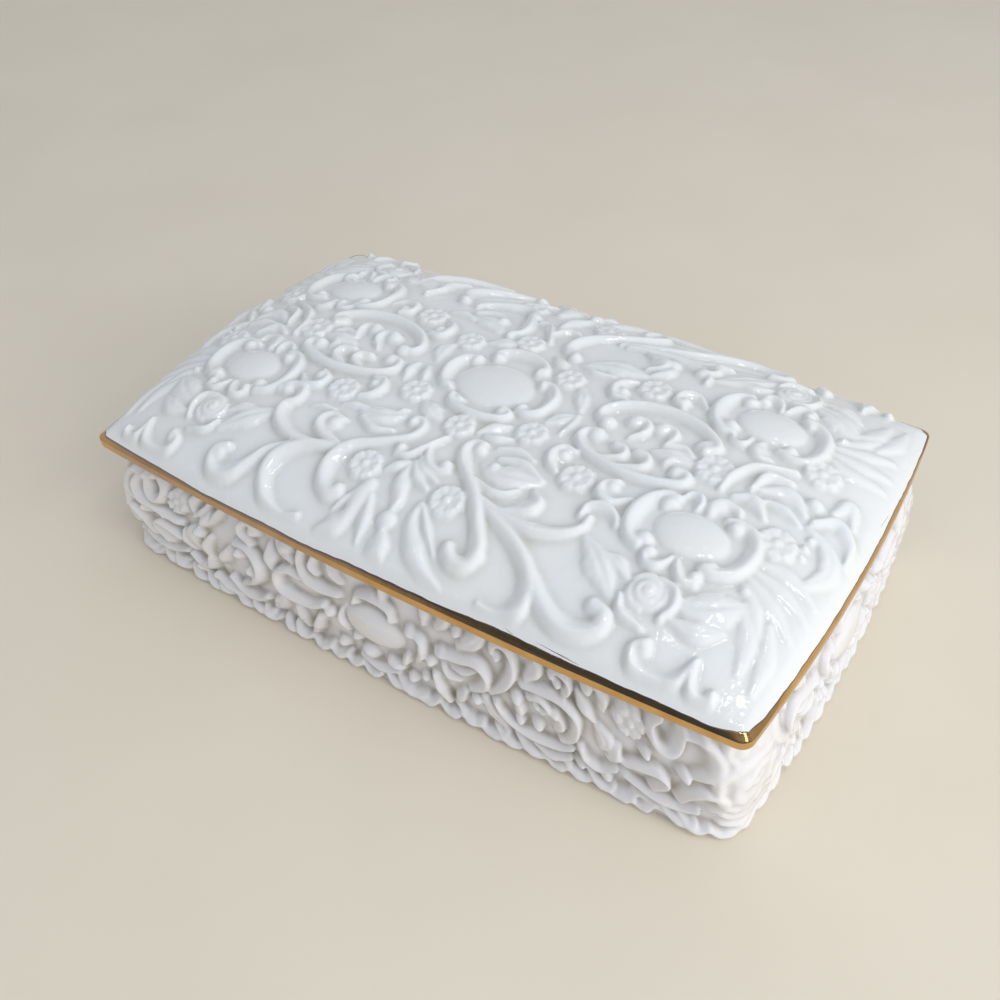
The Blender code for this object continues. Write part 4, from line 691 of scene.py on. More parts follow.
    def scroll_section(self, across: Array, bend: Array) -> Array:
        """Finds a scroll's height across it: steep outside its bend, falling in a hollow inside.

        Args:
            across: Where each place lies, in half widths to the left of the path.
            bend: How sharply the path bends there, from -1 to the right to 1 to the left.

        Returns:
            The heights, as shares of the scroll's lift.
        """
        crest = -self.lean * bend
        is_left = across > crest
        inner = np.clip(np.where(is_left, bend, -bend), 0, 1)
        reach = 1 + self.inner_skirt * inner + np.where(is_left, -crest, crest)
        away = np.clip(np.abs(across - crest) / reach, 0, 1)
        hollow = 0.5 + 0.5 * np.cos(math.pi * away)
        return (1 - inner) * (1 - away**2) ** 0.72 + inner * hollow

    def leaf_section(self, across: Array, along: Array, length: float) -> Array:
        """Returns a leaf's height across it, as a share of its lift.

        Args:
            across: Where each place lies across the leaf, from -1 to 1.
            along: Where it lies along the leaf, from 0 to 1.
            length: The leaf's length.

        Returns:
            The shares.
        """
        lobes = max(2, round(length / self.leaf_lobe))
        notch = 0.92 + 0.08 * np.abs(np.cos(math.pi * lobes * along))
        across = np.abs(across) / notch
        body = np.clip(1 - across**2, 0, None) ** 0.55
        midrib = 1 - 0.28 * np.exp(-((across / 0.16) ** 2))
        vein = 0.5 - 0.5 * np.cos(2 * math.pi * (lobes * along - 0.9 * across))
        return body * midrib * (1 - 0.10 * vein * np.clip(across * 2, 0, 1))

    def raise_bead(self, middle: Array, halves: Array, lift: float, rise: float = 0.55) -> None:
        """Raises one round or oval bead.

        Args:
            middle: Its middle.
            halves: Half its length and half its width.
            lift: Its height.
            rise: How gently it rises from its foot: half a ball at 0.5.
        """
        cells, places = self.window(middle - halves, middle + halves)
        away = np.sum(((places - middle) / halves) ** 2, axis=-1)
        self.melt(self.total, cells, lift * np.clip(1 - away, 0, None) ** rise)

    def raise_oval(self, middle: Array, halves: Array, gain: float) -> None:
        """Raises one smooth flat-topped oval, and clears a groove round it.

        Args:
            middle: Its middle.
            halves: Half its length and half its width.
            gain: How much of the full lift it has.
        """
        reach, groove = 1.35, 0.17
        cells, places = self.window(middle - halves * reach, middle + halves * reach)
        away = np.linalg.norm((places - middle) / halves, axis=-1)
        dome = self.lifts.oval * gain * np.clip(1 - away**2.2, 0, None) ** 0.55
        self.melt(self.ovals, cells, dome)
        rise = np.clip((away - 1.0) / groove, 0, 1)
        self.moats[cells] *= 0.1 + 0.9 * rise * rise * (3 - 2 * rise)

    def raise_flower(self, middle: Array, reach: float, petals: int, gain: float) -> None:
        """Raises a flower: round petals in a ring about a dimpled eye.

        Args:
            middle: Its middle.
            reach: How far its petals reach.
            petals: How many it has.
            gain: How much of the full lift it has.
        """
        cells, places = self.window(middle - reach, middle + reach)
        x, y = np.moveaxis(places - middle, -1, 0)
        away = np.hypot(x, y) / reach
        first = middle[0] / reach
        waves = np.cos(petals * (np.arctan2(y, x) - first))
        body = np.clip(1 - (away / (0.90 + 0.10 * waves)) ** 4, 0, None) ** 0.5
        cleft = 0.28 * (0.5 - 0.5 * waves) ** 2 * np.clip(3 * away - 0.8, 0, 1)
        eye = 0.24 * np.exp(-((away / 0.15) ** 2)) - 0.26 * np.exp(-(((away - 0.31) / 0.08) ** 2))
        lift = self.lifts.petal * gain
        self.melt(self.total, cells, lift * body * (0.86 - cleft + eye))
        turns = first + (np.arange(2 * petals) + 0.5) * math.pi / petals
        for way in np.column_stack([np.cos(turns), np.sin(turns)]):
            self.raise_bead(middle + way * reach * 0.72, np.full(2, reach * 0.22), lift * 0.93, 0.6)

    def raise_rose(self, middle: Array, reach: float, gain: float) -> None:
        """Raises a rose: three curled outer petals about a bud that coils out from its heart.

        Args:
            middle: Its middle.
            reach: How far its petals reach.
            gain: How much of the full lift it has.
        """
        bud = 0.74 * reach
        cells, places = self.window(middle - bud, middle + bud)
        x, y = np.moveaxis(places - middle, -1, 0)
        away = np.hypot(x, y) / bud
        coil = np.mod(away * 1.9 - np.arctan2(y, x) / (2 * math.pi), 1)
        fold = np.exp(-((coil / 0.20) ** 2)) + np.exp(-(((1 - coil) / 0.11) ** 2))
        body = np.clip(1 - away**2.2, 0, None) ** 0.5
        heights = self.lifts.rose * gain * body * (1 - 0.34 * fold * np.clip(away * 3, 0.4, 1))
        self.melt(self.total, cells, heights)
        for start in (0.4, 2.5, 4.6):
            turns = start + np.linspace(0, 2.3, 6)
            radii = reach * np.linspace(0.66, 0.84, 6)
            ring = middle + np.column_stack([np.cos(turns) * radii, np.sin(turns) * radii])
            self.raise_stroke(ring, np.array([0.24, 0.46, 0.30]) * reach, Cut.STROKE, 0.95 * gain)

    def draw(
        self,
        drawing: Drawing,
        mirrors: Mirrors,
        squares: Sequence[float],
        origin: Sequence[float] = (0, 0),
        gain: float = 1.0,
    ) -> None:
        """Raises a drawing's motifs, once for each mirror.

        Args:
            drawing: The motifs.
            mirrors: Which mirrors are cast.
            squares: The size of a square in x and in y.
            origin: Where the drawing's origin is.
            gain: How much of the full lift the motifs have.
        """
        side = squares[0]
        for mirror in mirrors.value:
            scale = np.multiply(squares, mirror)
            carved = {
                Cut.SCROLL: drawing.scrolls,
                Cut.STROKE: drawing.strokes,
                Cut.LEAF: drawing.leaves,
            }
            for cut, rows in carved.items():
                for widths, points in rows:
                    path = np.asarray(points) * scale + origin
                    self.raise_stroke(path, np.asarray(widths) * side, cut, gain)
            for x, y, half_length, half_width in drawing.ovals:
                halves = np.array([half_length, half_width]) * side
                self.raise_oval((x, y) * scale + origin, halves, gain)
            for x, y, radius in drawing.beads:
                lift = self.lifts.bead * gain * min(1.0, radius / 1.5) ** 0.6
                self.raise_bead((x, y) * scale + origin, np.full(2, radius * side), lift)
            for x, y, reach, petals in drawing.flowers:
                self.raise_flower((x, y) * scale + origin, reach * side, petals, gain)
            for x, y, reach in drawing.roses:
                self.raise_rose((x, y) * scale + origin, reach * side, gain)

    def glaze(self) -> None:
        """Softens the relief as glaze does, and finds its hollows for pooling and painted shade."""
        power = self.blend_power
        bare = (self.total * self.moats**power + self.ovals) ** (1 / power) * self.lifts.scroll
        self.heights = soften(bare, self.glaze_softening / self.pitch)
        # The hollows' mask, which paints shade into the crevices and also stands for pooling glaze.
        around = soften(self.heights, self.pool_shade_reach / self.pitch)
        self.pool_and_shade = np.clip((around - self.heights) / self.pool_shade_depth, 0, 1)

    def sample(self, places: Array) -> Arrays:
        """Reads the relief at places on the sheet.

        Args:
            places: The places, one in each row.

        Returns:
            The relief's heights there, and its hollows' pooling and painted shade, from 0 to 1.
        """
        cell = (places - self.low) / self.pitch
        limit = np.array(self.total.shape[::-1]) - 2
        first = np.clip(np.floor(cell).astype(int), 0, limit)
        part = np.clip(cell - first, 0, 1)
        column, row = first[:, 0], first[:, 1]
        right, up = part[:, 0], part[:, 1]

        def read(grid: Array) -> Array:
            """Reads a grid between its cells.

            Args:
                grid: The grid.

            Returns:
                Its values at the places.
            """
            left, after = 1 - right, column + 1
            ends = [grid[at, column] * left + grid[at, after] * right for at in (row, row + 1)]
            return ends[0] * (1 - up) + ends[1] * up

        return read(self.heights), read(self.pool_and_shade)


# ---- plan and skin


@dataclass(frozen=True)
class Plan:
    """The box's plan: a rectangle with rounded corners and gently bowed sides."""

    length: float = 152 * MM
    width: float = 91.5 * MM
    short_bow: float = 2.35 * MM
    long_bow: float = 2.35 * MM

    def halves(self, inset: Amount = 0.0) -> Arrays:
        """Finds the corners that the bowed sides spring from.

        Args:
            inset: How far the plan is drawn in.

        Returns:
            Half the length and half the width between them.
        """
        half_x = self.length / 2 - self.short_bow - np.asarray(inset, float)
        half_y = self.width / 2 - self.long_bow - np.asarray(inset, float)
        return half_x, half_y

    def bow(self, across: Array, deep: Array, inset: Amount) -> Array:
        """Places points given as shares of the half length and half width.

        Args:
            across: Shares of half the length, from -1 to 1.
            deep: Shares of half the width, from -1 to 1.
            inset: How far the plan is drawn in.

        Returns:
            The points, in the last axis.
        """
        half_x, half_y = self.halves(inset)
        x = half_x * across + self.short_bow * across * (1 - deep**2)
        y = half_y * deep + self.long_bow * deep * (1 - across**2)
        return np.stack([x, y], axis=-1)

    def points(self, shares: Array, inset: Amount, radius: float) -> Array:
        """Finds points of the outline.

        Args:
            shares: Places along the outline, counted in stretches anticlockwise from the back left
                corner: 0 to 1 is its arc, 1 to 2 the left side, and so on up to 8.
            inset: How far the outline is drawn in.
            radius: The corners' radius.

        Returns:
            The points.
        """
        shares = np.mod(np.asarray(shares, float), 8)
        part = np.floor(shares).astype(int)
        along = shares - part
        half_x, half_y = (np.broadcast_to(half, shares.shape) for half in self.halves(inset))
        core_x, core_y = half_x - radius, half_y - radius
        x, y = np.zeros_like(shares), np.zeros_like(shares)
        arcs = ((-1, 1, 90), (-1, -1, 180), (1, -1, 270), (1, 1, 0))
        sides = ((-1, 0), (0, -1), (1, 0), (0, 1))
        for turn, ((sign_x, sign_y, start), (out_x, out_y)) in enumerate(zip(arcs, sides)):
            here = part == 2 * turn
            angle = np.radians(start + 90 * along[here])
            x[here] = sign_x * core_x[here] + radius * np.cos(angle)
            y[here] = sign_y * core_y[here] + radius * np.sin(angle)
            here = part == 2 * turn + 1
            travel = 2 * along[here] - 1
            x[here] = out_x * half_x[here] - out_y * core_x[here] * travel
            y[here] = out_y * half_y[here] + out_x * core_y[here] * travel
        return self.bow(x / half_x, y / half_y, inset)

    def unbow(self, plan: Array) -> Arrays:
        """Undoes the bow.

        Args:
            plan: Plan points, one in each row.

        Returns:
            The points as shares of half the length, and of half the width.
        """
        half_x, half_y = self.halves()
        across, deep = plan[:, 0] / half_x, plan[:, 1] / half_y
        for _ in range(6):
            across = plan[:, 0] / (half_x + self.short_bow * (1 - deep**2))
            deep = plan[:, 1] / (half_y + self.long_bow * (1 - across**2))
        return across, deep

    def stretches(self, radius: float) -> Triple:
        """Measures the outline.

        Args:
            radius: The corners' radius.

        Returns:
            How long a corner's arc, a long side and a short side are.
        """
        arc = radius * math.pi / 2
        long_run = self.length - 2 * self.short_bow - 2 * radius
        short_run = self.width - 2 * self.long_bow - 2 * radius
        return arc, long_run, short_run


def loop_shares(arc_steps: int, short_steps: int, long_steps: int) -> Array:
    """Returns evenly spaced places round an outline, as Plan.points counts them."""
    steps = (arc_steps, short_steps, arc_steps, long_steps) * 2
    return np.concatenate([part + np.arange(count) / count for part, count in enumerate(steps)])


@dataclass
class Skin:
    """The points and faces of a surface that is being built, with values kept at its points."""

    names: tuple[str, ...]
    points: list[Array] = field(default_factory=list)
    values: list[Array] = field(default_factory=list)
    faces: list[Sequence[int]] = field(default_factory=list)
    count: int = 0

    def add(self, points: Array, *values: Amount) -> Array:
        """Adds points.

        Args:
            points: The points, in the last axis.
            values: For each of the skin's names, a value for all of them or for each.

        Returns:
            The points' numbers, in the same layout.
        """
        shape = points.shape[:-1]
        flat = points.reshape(-1, 3)
        spread = [np.broadcast_to(value, shape).reshape(-1) for value in values]
        self.points.append(flat)
        self.values.append(np.column_stack(spread))
        numbers = np.arange(self.count, self.count + len(flat))
        self.count += len(flat)
        return numbers.reshape(shape)

    def quads(self, corners: Array) -> None:
        """Adds faces of four corners, or of three where two of the four are the same.

        Args:
            corners: The numbers of each face's points, one face in each row.
        """
        for face in corners.tolist():
            kept = list(dict.fromkeys(face))
            if len(kept) > 2:
                self.faces.append(kept)

    def band(self, first: Array, second: Array) -> None:
        """Joins two closed loops of as many points."""
        self.quads(np.column_stack([first, np.roll(first, -1), np.roll(second, -1), second]))

    def bands(self, loops: Sequence[Array]) -> None:
        """Joins each closed loop to the next."""
        for first, second in zip(loops[:-1], loops[1:]):
            self.band(first, second)

    def sheet(self, grid: Array) -> None:
        """Joins a grid of points."""
        corners = [grid[:-1, :-1], grid[1:, :-1], grid[1:, 1:], grid[:-1, 1:]]
        self.quads(np.stack([corner.reshape(-1) for corner in corners], axis=1))

    def thin(self, fine: Array, coarse: Array) -> None:
        """Joins a closed loop to one with a fraction of its points, on flat ground.

        Args:
            fine: The loop with more points.
            coarse: The loop with fewer.
        """
        ratio = len(fine) // len(coarse)
        ring = np.append(fine, fine[0])
        for index, start in enumerate(coarse):
            after = coarse[(index + 1) % len(coarse)]
            edge = ring[index * ratio : (index + 1) * ratio + 1]
            self.faces.append([*edge.tolist(), int(after), int(start)])

    def cap(self, loop: Array) -> None:
        """Closes a loop with one face."""
        self.faces.append(loop.tolist())

    def make(self, name: str, finish: Material) -> bpy.types.Object:
        """Makes the object.

        Args:
            name: The object's name.
            finish: Its material.

        Returns:
            The object, shaded smooth, with its faces turned outwards and its values as attributes.
        """
        mesh = bpy.data.meshes.new(name)
        points = np.vstack(self.points)
        mesh.from_pydata(points.tolist(), [], self.faces)
        for column, label in enumerate(self.names):
            attribute = mesh.attributes.new(label, "FLOAT", "POINT")
            values = np.vstack(self.values)[:, column]
            attribute.data.foreach_set("value", values.astype(np.float32))
        editable = bmesh.new()
        editable.from_mesh(mesh)
        bmesh.ops.recalc_face_normals(editable, faces=editable.faces)
        editable.to_mesh(mesh)
        editable.free()
        mesh.shade_smooth()
        mesh.materials.append(finish)
        made = bpy.data.objects.new(name, mesh)
        bpy.context.scene.collection.objects.link(made)
        return made


# ---- finishes


class Spread(Enum):
    """How a value goes from one end of its range to the other."""

    EVEN = "LINEAR"
    EASED = "SMOOTHSTEP"


class Nodes:
    """A node tree, with short ways to add and join its nodes."""

    def __init__(self, tree: bpy.types.NodeTree) -> None:
        """Starts with the tree's own nodes."""
        self.tree = tree

    def node(self, kind: str, **settings: object) -> bpy.types.Node:
        """Adds a node.

        Args:
            kind: Its type.
            settings: Some of its settings, by their names.

        Returns:
            The node.
        """
        made = self.tree.nodes.new(kind)
        for key, value in settings.items():
            setattr(made, key, value)
        return made

    def join(self, source: Socket, target: Socket) -> None:
        """Joins two sockets."""
        self.tree.links.new(source, target)

    def spread(
        self,
        source: Socket,
        low: float,
        high: float,
        start: float = 0.0,
        finish: float = 1.0,
        way: Spread = Spread.EVEN,
    ) -> Socket:
        """Maps a value from one range to another.

        Args:
            source: The value.
            low: The value that gives start.
            high: The value that gives finish.
            start: The result at low, and below it.
            finish: The result at high, and above it.
            way: How the result goes from one to the other.

        Returns:
            The result.
        """
        made = self.node("ShaderNodeMapRange", interpolation_type=way.value)
        self.join(source, made.inputs["Value"])
        ends = {"From Min": low, "From Max": high, "To Min": start, "To Max": finish}
        for key, value in ends.items():
            made.inputs[key].default_value = value
        return made.outputs["Result"]

    def blend(
        self,
        share: Socket,
        first: Socket | Sequence[float],
        second: Socket | Sequence[float],
    ) -> Socket:
        """Mixes two colours.

        Args:
            share: How much of the second there is.
            first: A colour.
            second: Another colour.

        Returns:
            The mixed colour.
        """
        made = self.node("ShaderNodeMix", data_type="RGBA")
        self.join(share, made.inputs["Factor"])
        for socket, colour in ((made.inputs["A"], first), (made.inputs["B"], second)):
            if isinstance(colour, Socket):
                self.join(colour, socket)
            else:
                socket.default_value = (*colour, 1.0)
        return made.outputs["Result"]


class Shader(Nodes):
    """A material's nodes."""

    def __init__(self, name: str) -> None:
        """Starts a material with its Principled shader.

        Args:
            name: The material's name.
        """
        self.material = bpy.data.materials.new(name)
        self.material.use_nodes = True
        super().__init__(self.material.node_tree)
        self.surface = self.tree.nodes["Principled BSDF"]

    def plain(self, **values: object) -> None:
        """Sets the Principled shader's own sockets, named with _ for each space."""
        for key, value in values.items():
            self.surface.inputs[key.replace("_", " ")].default_value = value

    def stored(self, name: str) -> Socket:
        """Returns a value kept at the mesh's points."""
        return self.node("ShaderNodeAttribute", attribute_name=name).outputs["Fac"]

    def noise(self, size: float, detail: float = 2.0, vector: Socket | None = None) -> Socket:
        """Adds noise.

        Args:
            size: The size of its features, in metres.
            detail: How many finer layers it has.
            vector: Where it is read; the object's own places if left out.

        Returns:
            The noise's value.
        """
        made = self.node("ShaderNodeTexNoise")
        made.inputs["Scale"].default_value = 1 / size
        made.inputs["Detail"].default_value = detail
        if vector is None:
            vector = self.node("ShaderNodeTexCoord").outputs["Object"]
        self.join(vector, made.inputs["Vector"])
        return made.outputs["Fac"]

    def choose(self, share: Socket, first: Socket, second: float) -> Socket:
        """Mixes a value with a number.

        Args:
            share: How much of the number there is.
            first: The value.
            second: The number.

        Returns:
            The mixed value.
        """
        made = self.node("ShaderNodeMix", data_type="FLOAT")
        self.join(share, made.inputs["Factor"])
        self.join(first, made.inputs["A"])
        made.inputs["B"].default_value = second
        return made.outputs["Result"]

    def bump(self, layers: Iterable[tuple[Socket, float]]) -> None:
        """Roughens the surface's normal.

        Args:
            layers: Each layer's height, and how far it raises the surface, in metres.
        """
        normal = None
        for height, distance in layers:
            made = self.node("ShaderNodeBump")
            made.inputs["Distance"].default_value = distance
            self.join(height, made.inputs["Height"])
            if normal is not None:
                self.join(normal, made.inputs["Normal"])
            normal = made.outputs["Normal"]
        if normal is not None:
            self.join(normal, self.surface.inputs["Normal"])


@dataclass(frozen=True)
class PorcelainGlaze:
    """White porcelain in clear glaze, warm grey in hollows from pooling glaze and painted shade."""

    name: str
    white: Colour
    cool_white: Colour
    # The hollows' colour: glaze pooling there, and painted shade.
    pooled_glaze_and_shade: Colour
    least_rough: float
    most_rough: float
    bisque: Colour = (0.74, 0.73, 0.70)
    pale_bisque: Colour = (0.82, 0.81, 0.79)
    bisque_rough: float = 0.72

    def material(self) -> Material:
        """Makes the material.

        Returns:
            The material.
        """
        shader = Shader(self.name)
        cloud = shader.spread(shader.noise(22 * MM, 1), 0.35, 0.65, 0, 1)
        body = shader.blend(cloud, self.white, self.cool_white)
        # Painted shade: the hollows' mask, broken up by noise, mixes in the hollows' darker colour,
        # which also stands for pooling glaze.
        uneven = shader.node("ShaderNodeMath", operation="MULTIPLY")
        shader.join(shader.stored("pooled_glaze_and_shade"), uneven.inputs[0])
        shader.join(shader.spread(shader.noise(3.5 * MM), 0.3, 0.7, 0.55, 1.0), uneven.inputs[1])
        glazed = shader.blend(uneven.outputs[0], body, self.pooled_glaze_and_shade)
        grain = shader.spread(shader.noise(0.5 * MM, 4), 0.3, 0.7, 0, 1)
        bisque = shader.blend(grain, self.bisque, self.pale_bisque)
        bare = shader.stored("bare")
        shader.join(shader.blend(bare, glazed, bisque), shader.surface.inputs["Base Color"])
        sheen = shader.spread(shader.noise(9 * MM), 0.3, 0.7, self.least_rough, self.most_rough)
        rough = shader.choose(bare, sheen, self.bisque_rough)
        shader.join(rough, shader.surface.inputs["Roughness"])
        shader.bump(((shader.noise(6 * MM, 1), 0.12 * MM), (shader.noise(1.1 * MM, 1), 0.06 * MM)))
        shader.plain(IOR=1.52, Coat_Weight=0.35, Coat_Roughness=0.04, Coat_IOR=1.45)
        return shader.material


@dataclass(frozen=True)
class FiredGold:
    """Gold brushed on glaze and fired; purplish where thin, a colour also used as painted shade."""

    name: str = "bright_gold"
    gold: Colour = (0.78, 0.48, 0.20)
    deep_gold: Colour = (0.64, 0.37, 0.13)
    # The colour of thin gold, also painted on parts of the rim as shade where the gold mirrors
    # shadow.
    thin: Colour = (0.24, 0.22, 0.28)

    def material(self) -> Material:
        """Makes the material.

        Returns:
            The material.
        """
        shader = Shader(self.name)
        place = shader.node("ShaderNodeCombineXYZ")
        for socket, label, stretch in (("X", "along", 0.06), ("Y", "up", 1.0)):
            scaled = shader.node("ShaderNodeMath", operation="MULTIPLY")
            shader.join(shader.stored(label), scaled.inputs[0])
            scaled.inputs[1].default_value = stretch
            shader.join(scaled.outputs[0], place.inputs[socket])
        strokes = shader.noise(0.32 * MM, 3, place.outputs[0])
        cloud = shader.noise(5 * MM)
        gold = shader.blend(shader.spread(cloud, 0.3, 0.7, 0, 1), self.gold, self.deep_gold)
        # Painted shade: a low film value turns the gold towards the thin colour, at the brushed
        # edge and hairs and where the rim is painted darker.
        film = shader.spread(shader.stored("film"), 0.0, 0.5, 1, 0)
        shader.join(shader.blend(film, gold, self.thin), shader.surface.inputs["Base Color"])
        rough = shader.spread(strokes, 0.3, 0.7, 0.10, 0.24)
        shader.join(rough, shader.surface.inputs["Roughness"])
        shader.bump(((strokes, 0.004 * MM), (shader.noise(2.2 * MM), 0.02 * MM)))
        shader.plain(Metallic=1.0)
        return shader.material


@dataclass(frozen=True)
class PaleFloor:
    """A plain matt pale floor."""

    name: str = "pale_floor"
    colour: Colour = (0.80, 0.73, 0.61)
    shade: Colour = (0.77, 0.70, 0.58)

    def material(self) -> Material:
        """Makes the material.

        Returns:
            The material.
        """
        shader = Shader(self.name)
        cloud = shader.spread(shader.noise(60 * MM, 3), 0.3, 0.7, 0, 1)
        mottled = shader.blend(cloud, self.colour, self.shade)
        shader.join(mottled, shader.surface.inputs["Base Color"])
        shader.plain(Roughness=0.75, Specular_IOR_Level=0.25)
        return shader.material


# ---- pieces


@dataclass
class Lid:
    """The domed lid: relief crown, rounded rim, seat, locating flange and vaulted underside."""

    plan: Plan
    floor: float
    squares: Pair = (77.4, 46.6)
    rim_inset: float = 0.10 * MM
    corner_radius: float = 1.9 * MM
    rim_span: float = 3.1 * MM
    rim_height: float = 2.6 * MM
    side_share: float = 0.70
    shoulder: float = 2.2 * MM
    shoulder_power: float = 1.15
    margin: Pair = (1.2 * MM, 3.1 * MM)
    hip_softening: float = 2.7 * MM
    edge_softening: float = 0.5 * MM
    hip_span: Pair = (0.22, 0.75)
    drift: Pair = (-0.9 * MM, 1.2 * MM)
    drift_hold: float = 6.0
    fan_gain: float = 0.52
    dome_rise: float = 9.8 * MM
    dome_crown: Pair = (5.2, 2.8)
    dome_edge: Pair = (0.62, 0.79)
    wall: float = 3.2 * MM
    flange_inset: float = 7.0 * MM
    flange_wall: float = 2.4 * MM
    flange_drop: float = 3.0 * MM
    flange_round: float = 0.45 * MM
    seat_inset: float = 0.9 * MM
    bare_inset: float = 3.0 * MM
    hollow_radius: float = 4.9 * MM
    vault_reach: float = 31.45 * MM
    vault_fillet: float = 1.4 * MM
    # The top's rows between the crown and the rim's side: depths inside that side, in millimetres
    rim_rows: tuple[float, ...] = (
        2.8, 2.5, 2.2, 1.9, 1.6, 1.3, 1.05, 0.85, 0.68, 0.52, 0.38, 0.27, 0.18, 0.11, 0.05, 0.015,
        0.0,
    )
    # The rim's side and its rounded foot: insets and heights, in millimetres
    side_rows: Path = (
        (0, 1.6), (0, 1.2), (0, 0.8), (0, 0.54), (0.015, 0.38), (0.06, 0.22), (0.15, 0.09),
        (0.28, 0.02), (0.45, 0.0),
    )
    # The vault's rows: shares of its reach from the flange to the middle
    vault_rows: tuple[float, ...] = (
        0, 0.015, 0.04, 0.08, 0.13, 0.19, 0.26, 0.34, 0.43, 0.53, 0.64, 0.76, 0.88, 0.97,
    )
    long_steps: int = 448
    short_steps: int = 264
    arc_steps: int = 16
    thinning: int = 4

    def __post_init__(self) -> None:
        """Draws the relief of the crown."""
        half_long, half_wide = self.plan.length / 2, self.plan.width / 2
        self.relief = Relief((-half_long, -half_wide), (half_long, half_wide))
        square = (half_long / self.squares[0], half_wide / self.squares[1])
        for drawing, mirrors, gain in (
            (MIDDLE, Mirrors.AS_DRAWN, 1.0),
            (FRONT, Mirrors.AS_DRAWN, 1.0),
            (BACK, Mirrors.AS_DRAWN, 1.0),
            (SIDE, Mirrors.LEFT_AND_RIGHT, 1.0),
            (QUARTER, Mirrors.ALL_QUARTERS, 1.0),
            (FAN, Mirrors.ALL_QUARTERS, self.fan_gain),
        ):
            self.relief.draw(drawing, mirrors, square, gain=gain)
        self.relief.glaze()
        self.crown = self.shape_crown()
        self.shares = loop_shares(self.arc_steps, self.short_steps, self.long_steps)

    def shape_crown(self) -> Relief:
        """Shapes the plain crown: its hips softened, and mirrored down past its edge.

        Returns:
            The crown, as heights above the rim.
        """
        past = 3 * self.hip_softening
        half = np.array([self.plan.length / 2, self.plan.width / 2]) + past
        sheet = Relief(tuple(-half), tuple(half), pitch=0.2 * MM)
        places = sheet.window(-half, half)[1]
        across, deep = self.plan.unbow(places.reshape(-1, 2))
        product = np.ones(len(across))
        for share, crown, edge in zip((across, deep), self.dome_crown, self.dome_edge):
            fall = 1 - np.abs(share) ** crown
            product *= np.sign(fall) * np.abs(fall) ** edge
        rise = self.dome_rise * product.reshape(places.shape[:2])
        sharp = soften(rise, self.edge_softening / sheet.pitch)
        round_hips = soften(rise, self.hip_softening / sheet.pitch)
        cornered = (np.abs(across * deep) ** 3).reshape(rise.shape)
        start, full = self.hip_span
        share = eased(np.clip((cornered - start) / (full - start), 0, 1))
        sheet.heights = sharp * (1 - share) + round_hips * share
        return sheet

    def dome(self, plan: Array) -> Array:
        """Returns the plain crown's height above the rim's foot, at plan points."""
        return self.rim_height + self.crown.sample(plan)[0]

    def top(self, plan: Array, depth: Amount) -> Arrays:
        """Finds the glazed top surface.

        Args:
            plan: Plan points.
            depth: How far inside the rim's side they are.

        Returns:
            The points in space, and the share of pooling glaze and painted shade there.
        """
        inside = np.clip(np.asarray(depth) / self.shoulder, 0, 1)
        power = self.shoulder_power
        turned = np.clip(1 - (1 - inside) ** power, 0, 1) ** (1 / power)
        dropped = self.rim_height * (1 - self.side_share) * (1 - turned)
        heights, pool_and_shade = self.relief.sample(plan - self.drifted(plan))
        start, full = self.margin
        fade = eased(np.clip((depth - start) / (full - start), 0, 1))
        z = self.floor + self.dome(plan) - dropped + heights * fade
        return at_height(plan, z), pool_and_shade * fade

    def drifted(self, plan: Array) -> Array:
        """Finds how far the relief sits from where it is drawn. It holds still at the rim.

        Args:
            plan: Plan points.

        Returns:
            The drift at each of them.
        """
        half = np.array([self.plan.length / 2, self.plan.width / 2])
        hold = np.prod(1 - np.abs(np.clip(plan / half, -1, 1)) ** self.drift_hold, axis=1)
        return hold[:, None] * self.drift

    def rim_point(self, shares: Array, depth: Amount) -> Arrays:
        """Finds points of the top surface near the rim.

        Args:
            shares: Places along the outline.
            depth: How far inside the rim's side they are.

        Returns:
            The points in space, and the share of pooling glaze and painted shade there.
        """
        depth = np.broadcast_to(depth, shares.shape)
        outer = self.plan.points(shares, self.rim_inset, self.corner_radius)
        inner = self.plan.points(shares, self.rim_inset + self.rim_span, 0.0)
        plan = outer + (inner - outer) * (depth / self.rim_span)[:, None]
        return self.top(plan, depth)

    def side_point(self, shares: Array, inset: float, height: float) -> Array:
        """Returns points of the rim's side or foot."""
        plan = self.plan.points(shares, self.rim_inset + inset, self.corner_radius)
        return at_height(plan, self.floor + height)

    def build(self, finish: Material) -> bpy.types.Object:
        """Builds the lid's mesh.

        Args:
            finish: Its material.

        Returns:
            The lid.
        """
        # The points keep the hollows' share of pooling glaze and painted shade, and how bare they
        # are.
        skin = Skin(("pooled_glaze_and_shade", "bare"))
        steps = (self.long_steps, self.short_steps)
        columns, rows = (np.linspace(-1, 1, count + 1) for count in steps)
        across, deep = np.meshgrid(columns, rows, indexing="ij")
        plan = self.plan.bow(across, deep, self.rim_inset + self.rim_span)
        points, pool_and_shade = self.top(plan.reshape(-1, 2), self.rim_span)
        crown = skin.add(points, pool_and_shade, 0).reshape(across.shape)
        skin.sheet(crown)
        loops = [self.crown_border(crown)]
        for depth in self.rim_rows:
            loops.append(skin.add(*self.rim_point(self.shares, depth * MM), 0))
        for inset, height in self.side_rows:
            loops.append(skin.add(self.side_point(self.shares, inset * MM, height * MM), 0, 0))
        skin.bands(loops)
        self.close_underside(skin, loops[-1])
        made = skin.make("porcelain_lid", finish)
        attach(made, "lid_body")
        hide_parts("lid")
        return made

